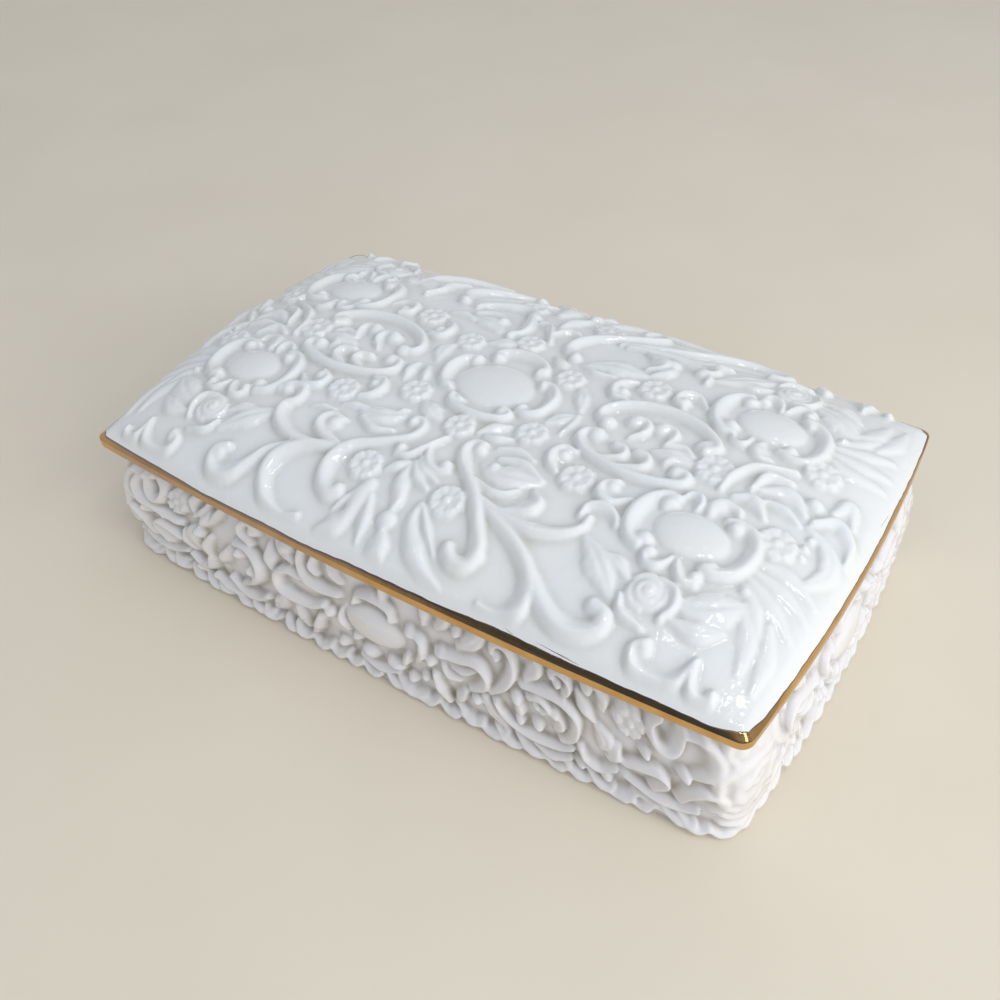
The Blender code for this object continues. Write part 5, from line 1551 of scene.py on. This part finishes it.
    def crown_border(self, crown: Array) -> Array:
        """Finds the crown's border.

        Args:
            crown: The numbers of the crown's points, as a grid.

        Returns:
            The border as a loop, each corner repeated for its arc.
        """
        arc = np.ones(self.arc_steps, int)
        return np.concatenate(
            [
                crown[0, -1] * arc, crown[0, :0:-1],
                crown[0, 0] * arc, crown[:-1, 0],
                crown[-1, 0] * arc, crown[-1, :-1],
                crown[-1, -1] * arc, crown[:0:-1, -1],
            ]
        )

    def close_underside(self, skin: Skin, rim_foot: Array) -> None:
        """Adds the seat, the flange and the vault.

        Args:
            skin: The lid's skin.
            rim_foot: The loop at the rim's foot.
        """
        shares = self.shares[:: self.thinning]
        wall, drop, small = self.flange_wall, self.flange_drop, self.flange_round

        def ring(
            inset: float, height: float, bare: float, radius: float = self.hollow_radius
        ) -> Array:
            """Adds a level loop.

            Args:
                inset: How far it lies inside the lid's outline.
                height: Its height above the rim's foot.
                bare: How bare of glaze it is, from 0 to 1.
                radius: Its corners' radius.

            Returns:
                The loop's numbers.
            """
            plan = self.plan.points(shares, inset, radius)
            return skin.add(at_height(plan, self.floor + height), 0, bare)

        seat = ring(self.rim_inset + self.seat_inset, 0, 0, self.corner_radius)
        skin.thin(rim_foot, seat)
        loops = [seat, ring(self.bare_inset, 0, 1, self.corner_radius)]
        inset = self.flange_inset
        for gap, height in ((-0.6, 0), (-0.1, -0.04), (0, -0.16)):
            loops.append(ring(inset + gap * MM, height * MM, 1))
        loops.append(ring(inset, -drop / 2, 0.3))
        turns = np.radians((0, 30, 60, 90))
        for start, way, bends in ((inset, 1, turns), (inset + wall, -1, turns[::-1])):
            for turn in bends:
                height = small - drop - small * math.sin(turn)
                loops.append(ring(start + way * small * (1 - math.cos(turn)), height, 0))
        spring = inset + wall
        for share in self.vault_rows:
            radius = self.hollow_radius * (1 - share**3 * 0.8)
            plan = self.plan.points(shares, spring + self.vault_reach * share, radius)
            fillet = self.vault_fillet * math.exp(-((share / 0.03) ** 2))
            z = self.floor + self.dome(plan) - self.wall - fillet
            loops.append(skin.add(at_height(plan, z), 0, 0))
        skin.bands(loops)
        skin.cap(loops[-1])


@dataclass
class GoldEdge:
    """The gold on the lid's rim: a thin film with a brushed upper edge and a few stray hairs."""

    lid: Lid
    film: float = 0.045 * MM
    full_film: float = 0.55 * MM
    # The rows up the rim's side: insets and heights, in millimetres
    side_rows: Path = (
        (0.28, 0.02), (0.15, 0.09), (0.06, 0.22), (0.015, 0.38), (0, 0.54), (0, 1.0), (0, 1.5),
    )
    # Places round the outline, and how far the gold reaches over the shoulder there, in millimetres
    reaches: Path = (
        (0.0, 0.45), (0.5, 1.2), (1.0, 0.55), (1.4, 0.66), (1.7, 0.50), (2.0, 0.70), (2.2, 1.22),
        (2.5, 1.32), (2.8, 1.26), (3.0, 1.08), (3.05, 0.82), (3.12, 0.62), (3.2, 0.44),
        (3.3, 0.46), (3.4, 0.40), (3.5, 0.64), (3.6, 0.68), (3.65, 0.82), (3.70, 1.03),
        (3.75, 0.88), (3.80, 0.77), (3.9, 0.75), (3.95, 0.65), (3.97, 0.56), (3.985, 0.80),
        (4.0, 1.22), (4.15, 1.36), (4.45, 1.38), (4.75, 1.22), (5.0, 1.0), (5.03, 0.72),
        (5.08, 0.48), (5.2, 0.42), (5.35, 0.36), (5.5, 0.36), (5.7, 0.40), (5.85, 0.36),
        (6.0, 0.34), (6.5, 1.0), (7.0, 0.42), (7.3, 0.66), (7.6, 0.46), (8.0, 0.45),
    )
    # Places round the outline, and how much of the film is left there: the gold is darkened
    # where less is left, as painted shade for the shadow that it mirrors
    painted_rim_shade: Path = (
        (0.0, 1.0), (1.1, 0.8), (1.5, 0.55), (2.0, 0.9), (2.9, 0.8), (3.05, 0.36), (3.4, 0.36),
        (3.62, 0.6), (3.75, 1.0), (5.2, 1.0), (6.2, 0.7), (7.0, 0.5), (7.6, 0.8), (8.0, 1.0),
    )
    # Counts of the brush's marks round the outline, and how far they move its edge, in millimetres
    brush_marks: tuple[tuple[int, float], ...] = ((60, 0.045), (220, 0.035), (700, 0.02))
    # Stray hairs: start and finish along the outline, depth inside the rim's side and width, in
    # millimetres
    hairs: tuple[tuple[float, float, float, float], ...] = (
        (3.755, 3.802, 1.12, 0.05), (3.772, 3.812, 0.98, 0.05), (3.712, 3.724, 1.16, 0.04),
        (5.62, 5.67, 0.95, 0.04), (7.30, 7.34, 0.80, 0.045), (1.36, 1.40, 0.80, 0.045),
    )

    def brushed(self, shares: Array) -> Array:
        """Finds how far the gold reaches over the shoulder, with the brush's unevenness.

        Args:
            shares: Places along the outline.

        Returns:
            The reach at each of them.
        """
        places, depths = zip(*self.reaches)
        generator = np.random.default_rng(11)
        uneven = np.zeros(len(shares))
        for spots, strength in self.brush_marks:
            knots = generator.normal(size=spots)
            uneven += strength * np.interp(shares, np.linspace(0, 8, spots), knots, period=8)
        reach = np.interp(shares, places, depths)
        kernel = np.hanning(9)[1:-1] / np.hanning(9).sum()
        even = np.convolve(np.pad(reach, 3, mode="wrap"), kernel, mode="valid")
        return np.clip(even + uneven, 0.2, 2.0) * MM

    def build(self, finish: Material) -> bpy.types.Object:
        """Builds the gold's mesh.

        Args:
            finish: Its material.

        Returns:
            The gold.
        """
        shares = self.lid.shares
        skin = Skin(("film", "along", "up"))
        rows = [
            self.lid.side_point(shares, inset * MM, height * MM) for inset, height in self.side_rows
        ]
        reach = self.brushed(shares)
        for share in np.linspace(0, 1, 15) ** 1.8:
            rows.append(self.lid.rim_point(shares, reach * share)[0])
        surface = np.stack(rows)
        strides = np.linalg.norm(np.diff(surface[4], axis=0), axis=1)
        along = np.concatenate([[0], np.cumsum(strides)])
        climbs = np.linalg.norm(np.diff(surface, axis=0), axis=2)
        up = np.vstack([np.zeros(len(shares)), np.cumsum(climbs, axis=0)])
        # Painted shade: the film value, low at the brushed upper edge and where the table darkens
        # the rim, turns the gold towards the thin colour.
        unshaded = np.interp(shares, *zip(*self.painted_rim_shade))
        film = np.clip((up[-1] - up) / self.full_film, 0, 1) * unshaded
        normals = self.normals(surface)
        thickness = self.film * np.clip(film * 4, 0.35, 1)[..., None]
        outer = [
            skin.add(row, *values)
            for row, *values in zip(surface + normals * thickness, film, [along] * len(up), up)
        ]
        inner = [skin.add(row, 0, 0, 0) for row in (surface - normals * self.film)[::-1]]
        skin.bands([*outer, *inner, outer[0]])
        for hair in self.hairs:
            self.lay_hair(skin, *hair)
        made = skin.make("gold_rim", finish)
        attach(made, "lid_body")
        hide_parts("gilt_edge")
        return made

    @staticmethod
    def normals(surface: Array) -> Array:
        """Finds the outward normals of a closed band.

        Args:
            surface: The band's points, as rows from its foot up.

        Returns:
            The normals.
        """
        ahead = np.roll(surface, -1, axis=1) - np.roll(surface, 1, axis=1)
        climb = np.gradient(surface, axis=0)
        normal = np.cross(ahead, climb)
        return normal / np.linalg.norm(normal, axis=2, keepdims=True)

    def lay_hair(self, skin: Skin, start: float, finish: float, depth: float, width: float) -> None:
        """Lays one stray hair of gold on the glaze.

        Args:
            skin: The gold's skin.
            start: Where it starts along the outline.
            finish: Where it finishes.
            depth: How far inside the rim it lies, in millimetres.
            width: Its width, in millimetres.
        """
        shares = np.linspace(start, finish, 40)
        along = np.linspace(0, 1, len(shares))
        drift = depth - 0.26 * (along - 0.5) + 0.012 * np.sin(along * 9)
        half = width / 2 * np.clip(np.sin(along * math.pi) * 2.2, 0.12, 1)
        across = np.array([-1, -0.5, 0, 0.5, 1])
        depths = [(drift + half * side) * MM for side in across]
        rows = np.stack([self.lid.rim_point(shares, depth)[0] for depth in depths])
        crest = self.film * 0.55 * (1 - across**2 * 0.8)
        up = np.array([0, 0, 1.0])
        top = rows + up * crest[:, None, None]
        upper = skin.add(top, 0.12, shares[None, :], across[:, None] * width * MM)
        lower = skin.add(rows - up * self.film, 0.1, 0, 0)
        skin.sheet(upper)
        skin.sheet(lower[::-1])
        for first, second in (
            (upper[0], lower[0]), (lower[-1], upper[-1]), (upper[::-1, 0], lower[::-1, 0]),
            (upper[:, -1], lower[:, -1]),
        ):
            skin.quads(np.column_stack([first[:-1], first[1:], second[1:], second[:-1]]))


@dataclass
class Tray:
    """The tray: bulged walls with relief all round, a rounded lip, the hollow and a foot ring."""

    plan: Plan
    height: float
    squares: Triple = (77.4, 46.6, 28.6)
    corner_radius: float = 6.0 * MM
    mouth_radius: float = 4.5 * MM
    wall: float = 3.4 * MM
    floor_thickness: float = 3.2 * MM
    neck_inset: float = 2.8 * MM
    widest_inset: float = 0.2 * MM
    foot_inset: float = 0.9 * MM
    lip_round: float = 0.5 * MM
    fillet: float = 5.0 * MM
    foot_width: float = 3.0 * MM
    foot_recess: float = 1.2 * MM
    fullness: float = 1.12
    lean: float = 0.16
    inner_skirt: float = 0.45
    gain: float = 1.38
    # The walls' hollow mask, for pooling glaze and painted shade in the crevices.
    pool_shade_reach: float = 0.95 * MM
    pool_shade_depth: float = 0.55 * MM
    sunk_ground: float = 1.1 * MM
    most_proud: float = 1.05 * MM
    proud_softening: float = 0.35 * MM
    # Depth below the lip as a share of the height, and how far the wall has swelled there
    profile: Path = (
        (0.00, 0.00), (0.08, 0.05), (0.18, 0.26), (0.29, 0.57), (0.40, 0.84), (0.56, 1.00),
        (0.72, 0.91), (0.88, 0.62),
    )
    # Depths, as shares of the height, between which the relief fades in and out
    relief_fade: tuple[float, float, float, float] = (0.0, 0.05, 0.975, 1.0)
    # Depths, as shares of the height, and the share of the ground's sinking that is left there
    ground_rise: tuple[Pair, Pair] = ((0.78, 0.94), (1, 0.45))
    # Distances from a corner's middle towards the long side (below 0) or the end, in millimetres,
    # and the share of the relief that is left there
    post: Path = (
        (-6.0, 1.0), (-2.5, 0.6), (0.2, 0.16), (9.0, 0.10), (15.0, 0.74), (70.0, 0.74), (84.0, 1.0),
    )
    # Depths, as shares of the height, and the share of the relief that comes back on a post there
    post_foot: tuple[Pair, Pair] = ((0.74, 0.90), (0, 0.38))
    post_proud: float = 0.9 * MM
    hem_pitch: float = 4.6 * MM
    hem_height: float = 2.1 * MM
    # The path of one lobe of the hem: shares of its side across, and of 2 mm up
    hem_lobe: Path = ((-0.62, 0.75), (-0.25, -0.05), (0.25, -0.35), (0.66, 0.10))
    sheet_margin: float = 20 * MM
    # How far inside the wall's top and bottom edges the next two loops lie
    lip_insets: Pair = (0.35 * MM, 0.9 * MM)
    foot_insets: Pair = (0.3 * MM, 0.9 * MM)
    foot_rounds: Pair = (0.4 * MM, 0.2 * MM)
    long_steps: int = 424
    short_steps: int = 232
    arc_steps: int = 32
    rows: int = 100
    thinning: int = 4

    def __post_init__(self) -> None:
        """Draws the relief of the walls on one unrolled sheet, past its seam at both ends."""
        arc, long_run, short_run = self.plan.stretches(self.corner_radius)
        self.starts = np.concatenate([[0], np.cumsum((arc, short_run, arc, long_run) * 2)])
        far = (self.starts[-1] + self.sheet_margin, self.height)
        self.relief = Relief(
            (-self.sheet_margin, 0),
            far,
            self.fullness,
            lean=self.lean,
            inner_skirt=self.inner_skirt,
            pool_shade_reach=self.pool_shade_reach,
            pool_shade_depth=self.pool_shade_depth,
        )
        high_square = self.height / self.squares[2]
        long_square = (self.plan.length / 2 / self.squares[0], high_square)
        short_square = (self.plan.width / 2 / self.squares[1], high_square)
        place = -long_run
        for run, square in ((long_run, long_square), (short_run, short_square)) * 3:
            where = (place + run / 2, self.height)
            for drawing, mirrors in LONG_WALL if run == long_run else SHORT_WALL:
                self.relief.draw(drawing, mirrors, square, where, self.gain)
            place += run + arc
        self.cast_hem()
        self.relief.glaze()
        self.shares = loop_shares(self.arc_steps, self.short_steps, self.long_steps)

    def cast_hem(self) -> None:
        """Raises the row of slanting lobes along the foot, closed where the sheet's ends meet."""
        count = round(self.starts[-1] / self.hem_pitch)
        pitch = self.starts[-1] / count
        shifts, sizes, rises = np.random.default_rng(5).uniform(-1, 1, (3, count))
        for number in range(-4, count + 5):
            turn = number % count
            side = pitch * (0.95 + 0.22 * sizes[turn])
            way = 1 if rises[turn] > -0.3 else -1
            rise = self.hem_height * (1 + 0.22 * rises[turn])
            middle = (pitch * (number + 0.22 * shifts[turn]), rise)
            path = np.array(self.hem_lobe) * (way * side, 2.0 * MM) + middle
            widths = np.array([1.3, 2.7, 1.5]) * MM * (1 + 0.18 * sizes[turn])
            self.relief.raise_stroke(path, widths, Cut.SCROLL, self.gain)

    def wall_inset(self, depth: Array) -> Array:
        """Finds how far the plain wall lies inside the lid's outline.

        Args:
            depth: Depths below the lip, as shares of the height.

        Returns:
            The inset at each of them.
        """
        depths, swells = (np.array(column) for column in zip(*self.profile))
        swell = np.interp(depth, depths, swells)
        plain = self.neck_inset + (self.widest_inset - self.neck_inset) * swell
        turned = np.clip((depth - depths[-1]) / (1 - depths[-1]), 0, 1)
        return plain + (self.foot_inset - plain) * (1 - np.sqrt(1 - turned**2))

    def posts_left(self, along: Array) -> Array:
        """Finds how much of the relief the plain posts at the corners leave.

        Args:
            along: Places along the walls.

        Returns:
            The share that is left at each of them.
        """
        gaps, shares = (np.array(column) for column in zip(*self.post))
        left = np.ones(len(along))
        for middle, way in zip(self.starts[::2] + self.starts[1] / 2, (1, -1, 1, -1, 1)):
            left = np.minimum(left, np.interp((along - middle) * way, gaps * MM, shares))
        return left

    def levels(self) -> Array:
        """Spaces the wall's rows evenly along its section.

        Returns:
            Their depths below the lip, as shares of the height.
        """
        depth = np.linspace(0, 1, 2001)
        inset = self.wall_inset(depth)
        steps = np.hypot(np.diff(inset), np.diff(depth) * self.height)
        travelled = np.concatenate([[0], np.cumsum(steps)])
        return np.interp(np.linspace(0, travelled[-1], self.rows + 1), travelled, depth)

    def build(self, finish: Material) -> bpy.types.Object:
        """Builds the tray's mesh.

        Args:
            finish: Its material.

        Returns:
            The tray.
        """
        # The points keep the hollows' share of pooling glaze and painted shade, and how bare they
        # are.
        skin = Skin(("pooled_glaze_and_shade", "bare"))
        along = np.interp(self.shares, np.arange(len(self.starts)), self.starts)
        posts = self.posts_left(along)
        loops = []
        depths = self.levels()
        for depth, inset in zip(depths, self.wall_inset(depths)):
            z = self.height * (1 - depth)
            # The relief also gives the hollows' share of pooling glaze and painted shade.
            raised, pool_and_shade = self.relief.sample(at_height(along, z))
            strength = float(np.interp(depth, self.relief_fade, (0, 1, 1, 0)))
            sunk = self.sunk_ground * float(np.interp(depth, *self.ground_rise))
            left = posts + (1 - posts) * float(np.interp(depth, *self.post_foot))
            proud = (raised * left - sunk * left + self.post_proud * (1 - left)) * strength
            pool_and_shade = pool_and_shade * left
            soft = self.proud_softening
            over = proud - (inset + self.most_proud - soft)
            proud = np.where(over > 0, proud - over + soft * np.tanh(over / soft), proud)
            plan = self.plan.points(self.shares, inset - proud, self.corner_radius)
            loops.append(skin.add(at_height(plan, z), pool_and_shade * strength, 0))
        skin.bands(loops)
        self.close_mouth(skin, loops[0])
        self.close_foot(skin, loops[-1])
        made = skin.make("porcelain_tray", finish)
        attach(made, "tray_body")
        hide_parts("tray")
        return made

    def ring(
        self, skin: Skin, inset: float, radius: float, height: float, bare: float, step: int
    ) -> Array:
        """Adds a level loop.

        Args:
            skin: The tray's skin.
            inset: How far it lies inside the lid's outline.
            radius: Its corners' radius.
            height: Its height.
            bare: How bare of glaze it is, from 0 to 1.
            step: How many of the outline's points each of its own stands for.

        Returns:
            The loop's numbers.
        """
        plan = self.plan.points(self.shares[::step], inset, radius)
        return skin.add(at_height(plan, height), 0, bare)

    def close_mouth(self, skin: Skin, lip: Array) -> None:
        """Adds the lip's rounded top, the hollow and its floor.

        Args:
            skin: The tray's skin.
            lip: The loop at the top of the wall.
        """
        step = self.thinning
        mouth = self.neck_inset + self.wall
        near, far = (self.neck_inset + inset for inset in self.lip_insets)
        edge = self.ring(skin, near, self.corner_radius, self.height, 1, 1)
        seat = self.ring(skin, far, self.corner_radius, self.height, 1, step)
        skin.band(lip, edge)
        skin.thin(edge, seat)
        loops = [seat]
        turns = np.radians((0, 22, 45, 67, 90))
        for turn in turns:
            inset = mouth - self.lip_round * (1 - math.sin(turn))
            z = self.height - self.lip_round * (1 - math.cos(turn))
            loops.append(self.ring(skin, inset, self.mouth_radius, z, 1 - turn / turns[-1], step))
        high, low = self.height - self.lip_round, self.floor_thickness + self.fillet
        for share in (0.25, 0.5, 0.75):
            z = high - (high - low) * share
            loops.append(self.ring(skin, mouth, self.mouth_radius, z, 0, step))
        for turn in np.radians(np.linspace(0, 90, 10)):
            inset = mouth + self.fillet * (1 - math.cos(turn))
            z = low - self.fillet * math.sin(turn)
            loops.append(self.ring(skin, inset, self.mouth_radius, z, 0, step))
        reach = self.plan.width / 2 - self.plan.long_bow - mouth - self.fillet - self.mouth_radius
        for share in (0.04, 0.12, 0.25, 0.42, 0.6, 0.8, 0.98):
            inset = mouth + self.fillet + reach * share
            loops.append(self.ring(skin, inset, self.mouth_radius, self.floor_thickness, 0, step))
        skin.bands(loops)
        skin.cap(loops[-1])

    def close_foot(self, skin: Skin, foot: Array) -> None:
        """Adds the foot ring's bare underside and the recess inside it.

        Args:
            skin: The tray's skin.
            foot: The loop at the bottom of the wall.
        """
        step = self.thinning
        inner = self.foot_inset + self.foot_width
        near, far = (self.foot_inset + inset for inset in self.foot_insets)
        outer_round, inner_round = self.foot_rounds
        edge = self.ring(skin, near, self.corner_radius, 0, 1, 1)
        loops = [self.ring(skin, far, self.corner_radius, 0, 1, step)]
        skin.band(foot, edge)
        skin.thin(edge, loops[0])
        for turn in np.radians((0, 30, 60)):
            inset = inner - outer_round * (1 - math.sin(turn))
            z = outer_round * (1 - math.cos(turn))
            loops.append(self.ring(skin, inset, self.corner_radius, z, 1 - math.sin(turn), step))
        for turn in np.radians((0, 30, 60, 90)):
            inset = inner + (self.foot_recess - inner_round) * (1 - math.cos(turn))
            z = inner_round + (self.foot_recess - inner_round) * math.sin(turn)
            loops.append(self.ring(skin, inset, self.corner_radius, z, 0, step))
        across = self.plan.width / 2 - self.plan.long_bow
        reach = across - inner - self.foot_recess - self.corner_radius
        for share in (0.06, 0.2, 0.4, 0.65, 0.95):
            inset = inner + self.foot_recess + reach * share
            loops.append(self.ring(skin, inset, self.corner_radius, self.foot_recess, 0, step))
        skin.bands(loops)
        skin.cap(loops[-1])


# ---- studio


@dataclass
class Studio:
    """The floor, the light and the camera."""

    floor_size: float = 4.0
    lens: float = 38.59
    sensor: float = 36.0
    azimuth: float = 36.489
    elevation: float = 42.311
    roll: float = -4.136
    distance: float = 0.20715
    target: Triple = (0.009476, -0.014747, 0.0283)
    backdrop: Colour = (0.80, 0.77, 0.72)
    shadow_side: Colour = (0.415, 0.435, 0.47)
    light_side: Colour = (0.585, 0.61, 0.645)
    mirrored_room: Colour = (0.46, 0.46, 0.47)
    dark: Colour = (0.06, 0.082, 0.15)
    light_way: Triple = (0.80, 0.25, 0.55)
    light_span: Pair = (-0.8, 0.9)
    # Ways towards the dark parts of what is mirrored, and the cosines where they begin and are full
    dark_parts: tuple[tuple[Triple, float, float], ...] = (
        ((0.14, -0.885, 0.445), 0.68, 0.83), ((0.50, -0.25, 0.83), 0.84, 0.95),
    )
    lamp_aim: Triple = (0, 0, 0.03)
    # Each lamp's name, way, distance, sides and watts
    lamps: tuple[tuple[str, Triple, float, Pair, float], ...] = (
        ("key", (0.90, -0.22, 0.44), 0.6, (0.50, 0.50), 1.98),
        ("window", (0.36, 0.06, 0.93), 0.95, (0.05, 0.06), 0.16),
        ("glint", (0.46, -0.01, 0.89), 0.95, (0.13, 0.09), 0.34),
        ("strip_left", (0.20, -0.17, 0.97), 0.95, (0.11, 0.016), 0.22),
        ("strip_right", (0.24, -0.09, 0.97), 0.95, (0.11, 0.016), 0.22),
        ("spark_left", (-0.26, -0.24, 0.93), 0.95, (0.03, 0.03), 0.055),
        ("spark_top", (-0.03, 0.02, 1.0), 0.95, (0.03, 0.03), 0.055),
        ("spark_back", (0.14, 0.30, 0.94), 0.95, (0.03, 0.03), 0.055),
    )

    def build(self) -> None:
        """Builds the studio."""
        self.lay_floor()
        self.paint_world()
        self.hang_lamps()
        self.place_camera()
        bpy.context.scene.view_settings.view_transform = "Standard"

    def lay_floor(self) -> None:
        """Lays the floor."""
        half = self.floor_size / 2
        mesh = bpy.data.meshes.new("floor")
        corners = [(-half, -half, 0), (half, -half, 0), (half, half, 0), (-half, half, 0)]
        mesh.from_pydata(corners, [], [(0, 1, 2, 3)])
        mesh.materials.append(PaleFloor().material())
        floor = bpy.data.objects.new("floor", mesh)
        bpy.context.scene.collection.objects.link(floor)

    def facing(self, nodes: Nodes, way: Sequence[float]) -> Socket:
        """Compares the world's direction with a way.

        Args:
            nodes: The world's nodes.
            way: The way.

        Returns:
            How closely they agree, from -1 to 1.
        """
        made = nodes.node("ShaderNodeVectorMath", operation="DOT_PRODUCT")
        nodes.join(nodes.node("ShaderNodeTexCoord").outputs["Generated"], made.inputs[0])
        made.inputs[1].default_value = Vector(way).normalized()
        return made.outputs["Value"]

    def paint_world(self) -> None:
        """Paints an even light, stronger from the right, with dark parts for the gold to mirror."""
        world = bpy.data.worlds.new("studio")
        world.use_nodes = True
        bpy.context.scene.world = world
        nodes = Nodes(world.node_tree)
        right = self.facing(nodes, self.light_way)
        turned = nodes.spread(right, *self.light_span, way=Spread.EASED)
        lit = nodes.blend(turned, self.shadow_side, self.light_side)
        mirrored = self.mirrored_room
        for way, begin, full in self.dark_parts:
            turned = nodes.spread(self.facing(nodes, way), begin, full, way=Spread.EASED)
            mirrored = nodes.blend(turned, mirrored, self.dark)
        path = nodes.node("ShaderNodeLightPath")
        seen = nodes.blend(path.outputs["Is Glossy Ray"], lit, mirrored)
        for label in ("Is Camera Ray", "Is Transmission Ray"):
            seen = nodes.blend(path.outputs[label], seen, self.backdrop)
        nodes.join(seen, nodes.tree.nodes["Background"].inputs["Color"])

    def hang_lamps(self) -> None:
        """Hangs the soft key lamp, and the small lamps that the glaze mirrors."""
        middle = Vector(self.lamp_aim)
        for name, way, distance, size, power in self.lamps:
            lamp = bpy.data.lights.new(name, "AREA")
            lamp.shape = "RECTANGLE"
            lamp.size, lamp.size_y = size
            lamp.energy = power
            made = bpy.data.objects.new(name, lamp)
            made.visible_glossy = name != "key"
            made.location = middle + Vector(way).normalized() * distance
            made.rotation_euler = (middle - made.location).to_track_quat("-Z", "Y").to_euler()
            bpy.context.scene.collection.objects.link(made)

    def place_camera(self) -> None:
        """Places the camera at the photograph's angle."""
        camera = bpy.data.cameras.new("camera")
        camera.sensor_width = self.sensor
        camera.lens = self.lens
        camera.clip_start = 0.01
        camera.clip_end = 20
        turn, rise, roll = map(math.radians, (self.azimuth, self.elevation, self.roll))
        level = math.cos(rise)
        back = Vector((math.sin(turn) * level, -math.cos(turn) * level, math.sin(rise)))
        level_right = (-back).cross(Vector((0, 0, 1))).normalized()
        level_up = level_right.cross(-back)
        right = level_right * math.cos(roll) + level_up * math.sin(roll)
        up = level_up * math.cos(roll) - level_right * math.sin(roll)
        turned = Matrix((right, up, back)).transposed().to_4x4()
        made = bpy.data.objects.new("camera", camera)
        made.matrix_world = Matrix.Translation(Vector(self.target) + back * self.distance) @ turned
        bpy.context.scene.collection.objects.link(made)
        bpy.context.scene.camera = made


def clear_scene() -> None:
    """Empties the scene that Blender starts with."""
    for found in list(bpy.data.objects):
        bpy.data.objects.remove(found, do_unlink=True)


def main() -> None:
    """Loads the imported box, dresses each piece and sets the studio round it."""
    logging.basicConfig(level=logging.INFO, format="%(name)s: %(message)s")
    clear_scene()
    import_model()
    plan = Plan()
    lid_glaze = PorcelainGlaze(
        "white_glaze",
        white=(0.815, 0.825, 0.82),
        cool_white=(0.80, 0.82, 0.83),
        # Warm grey in the lid's hollows: pooling glaze and painted shade.
        pooled_glaze_and_shade=(0.56, 0.555, 0.52),
        least_rough=0.05,
        most_rough=0.10,
    )
    tray_glaze = PorcelainGlaze(
        "white_glaze_tray",
        white=(0.82, 0.805, 0.81),
        cool_white=(0.81, 0.80, 0.82),
        # Dark brown in the tray's hollows: mostly painted shade in the crevices, with some pooling
        # glaze.
        pooled_glaze_and_shade=(0.34, 0.30, 0.245),
        least_rough=0.09,
        most_rough=0.18,
    )
    lid = Lid(plan, floor=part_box("gilt_edge")[0].z)
    for part, finish in (
        (lid, lid_glaze),
        (GoldEdge(lid), FiredGold()),
        (Tray(plan, height=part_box("tray")[1].z), tray_glaze),
    ):
        piece = part.build(finish.material())
        LOG.info("%s: %d faces in %s", piece.name, len(piece.data.polygons), finish.name)
    Studio().build()


if __name__ == "__main__":
    main()
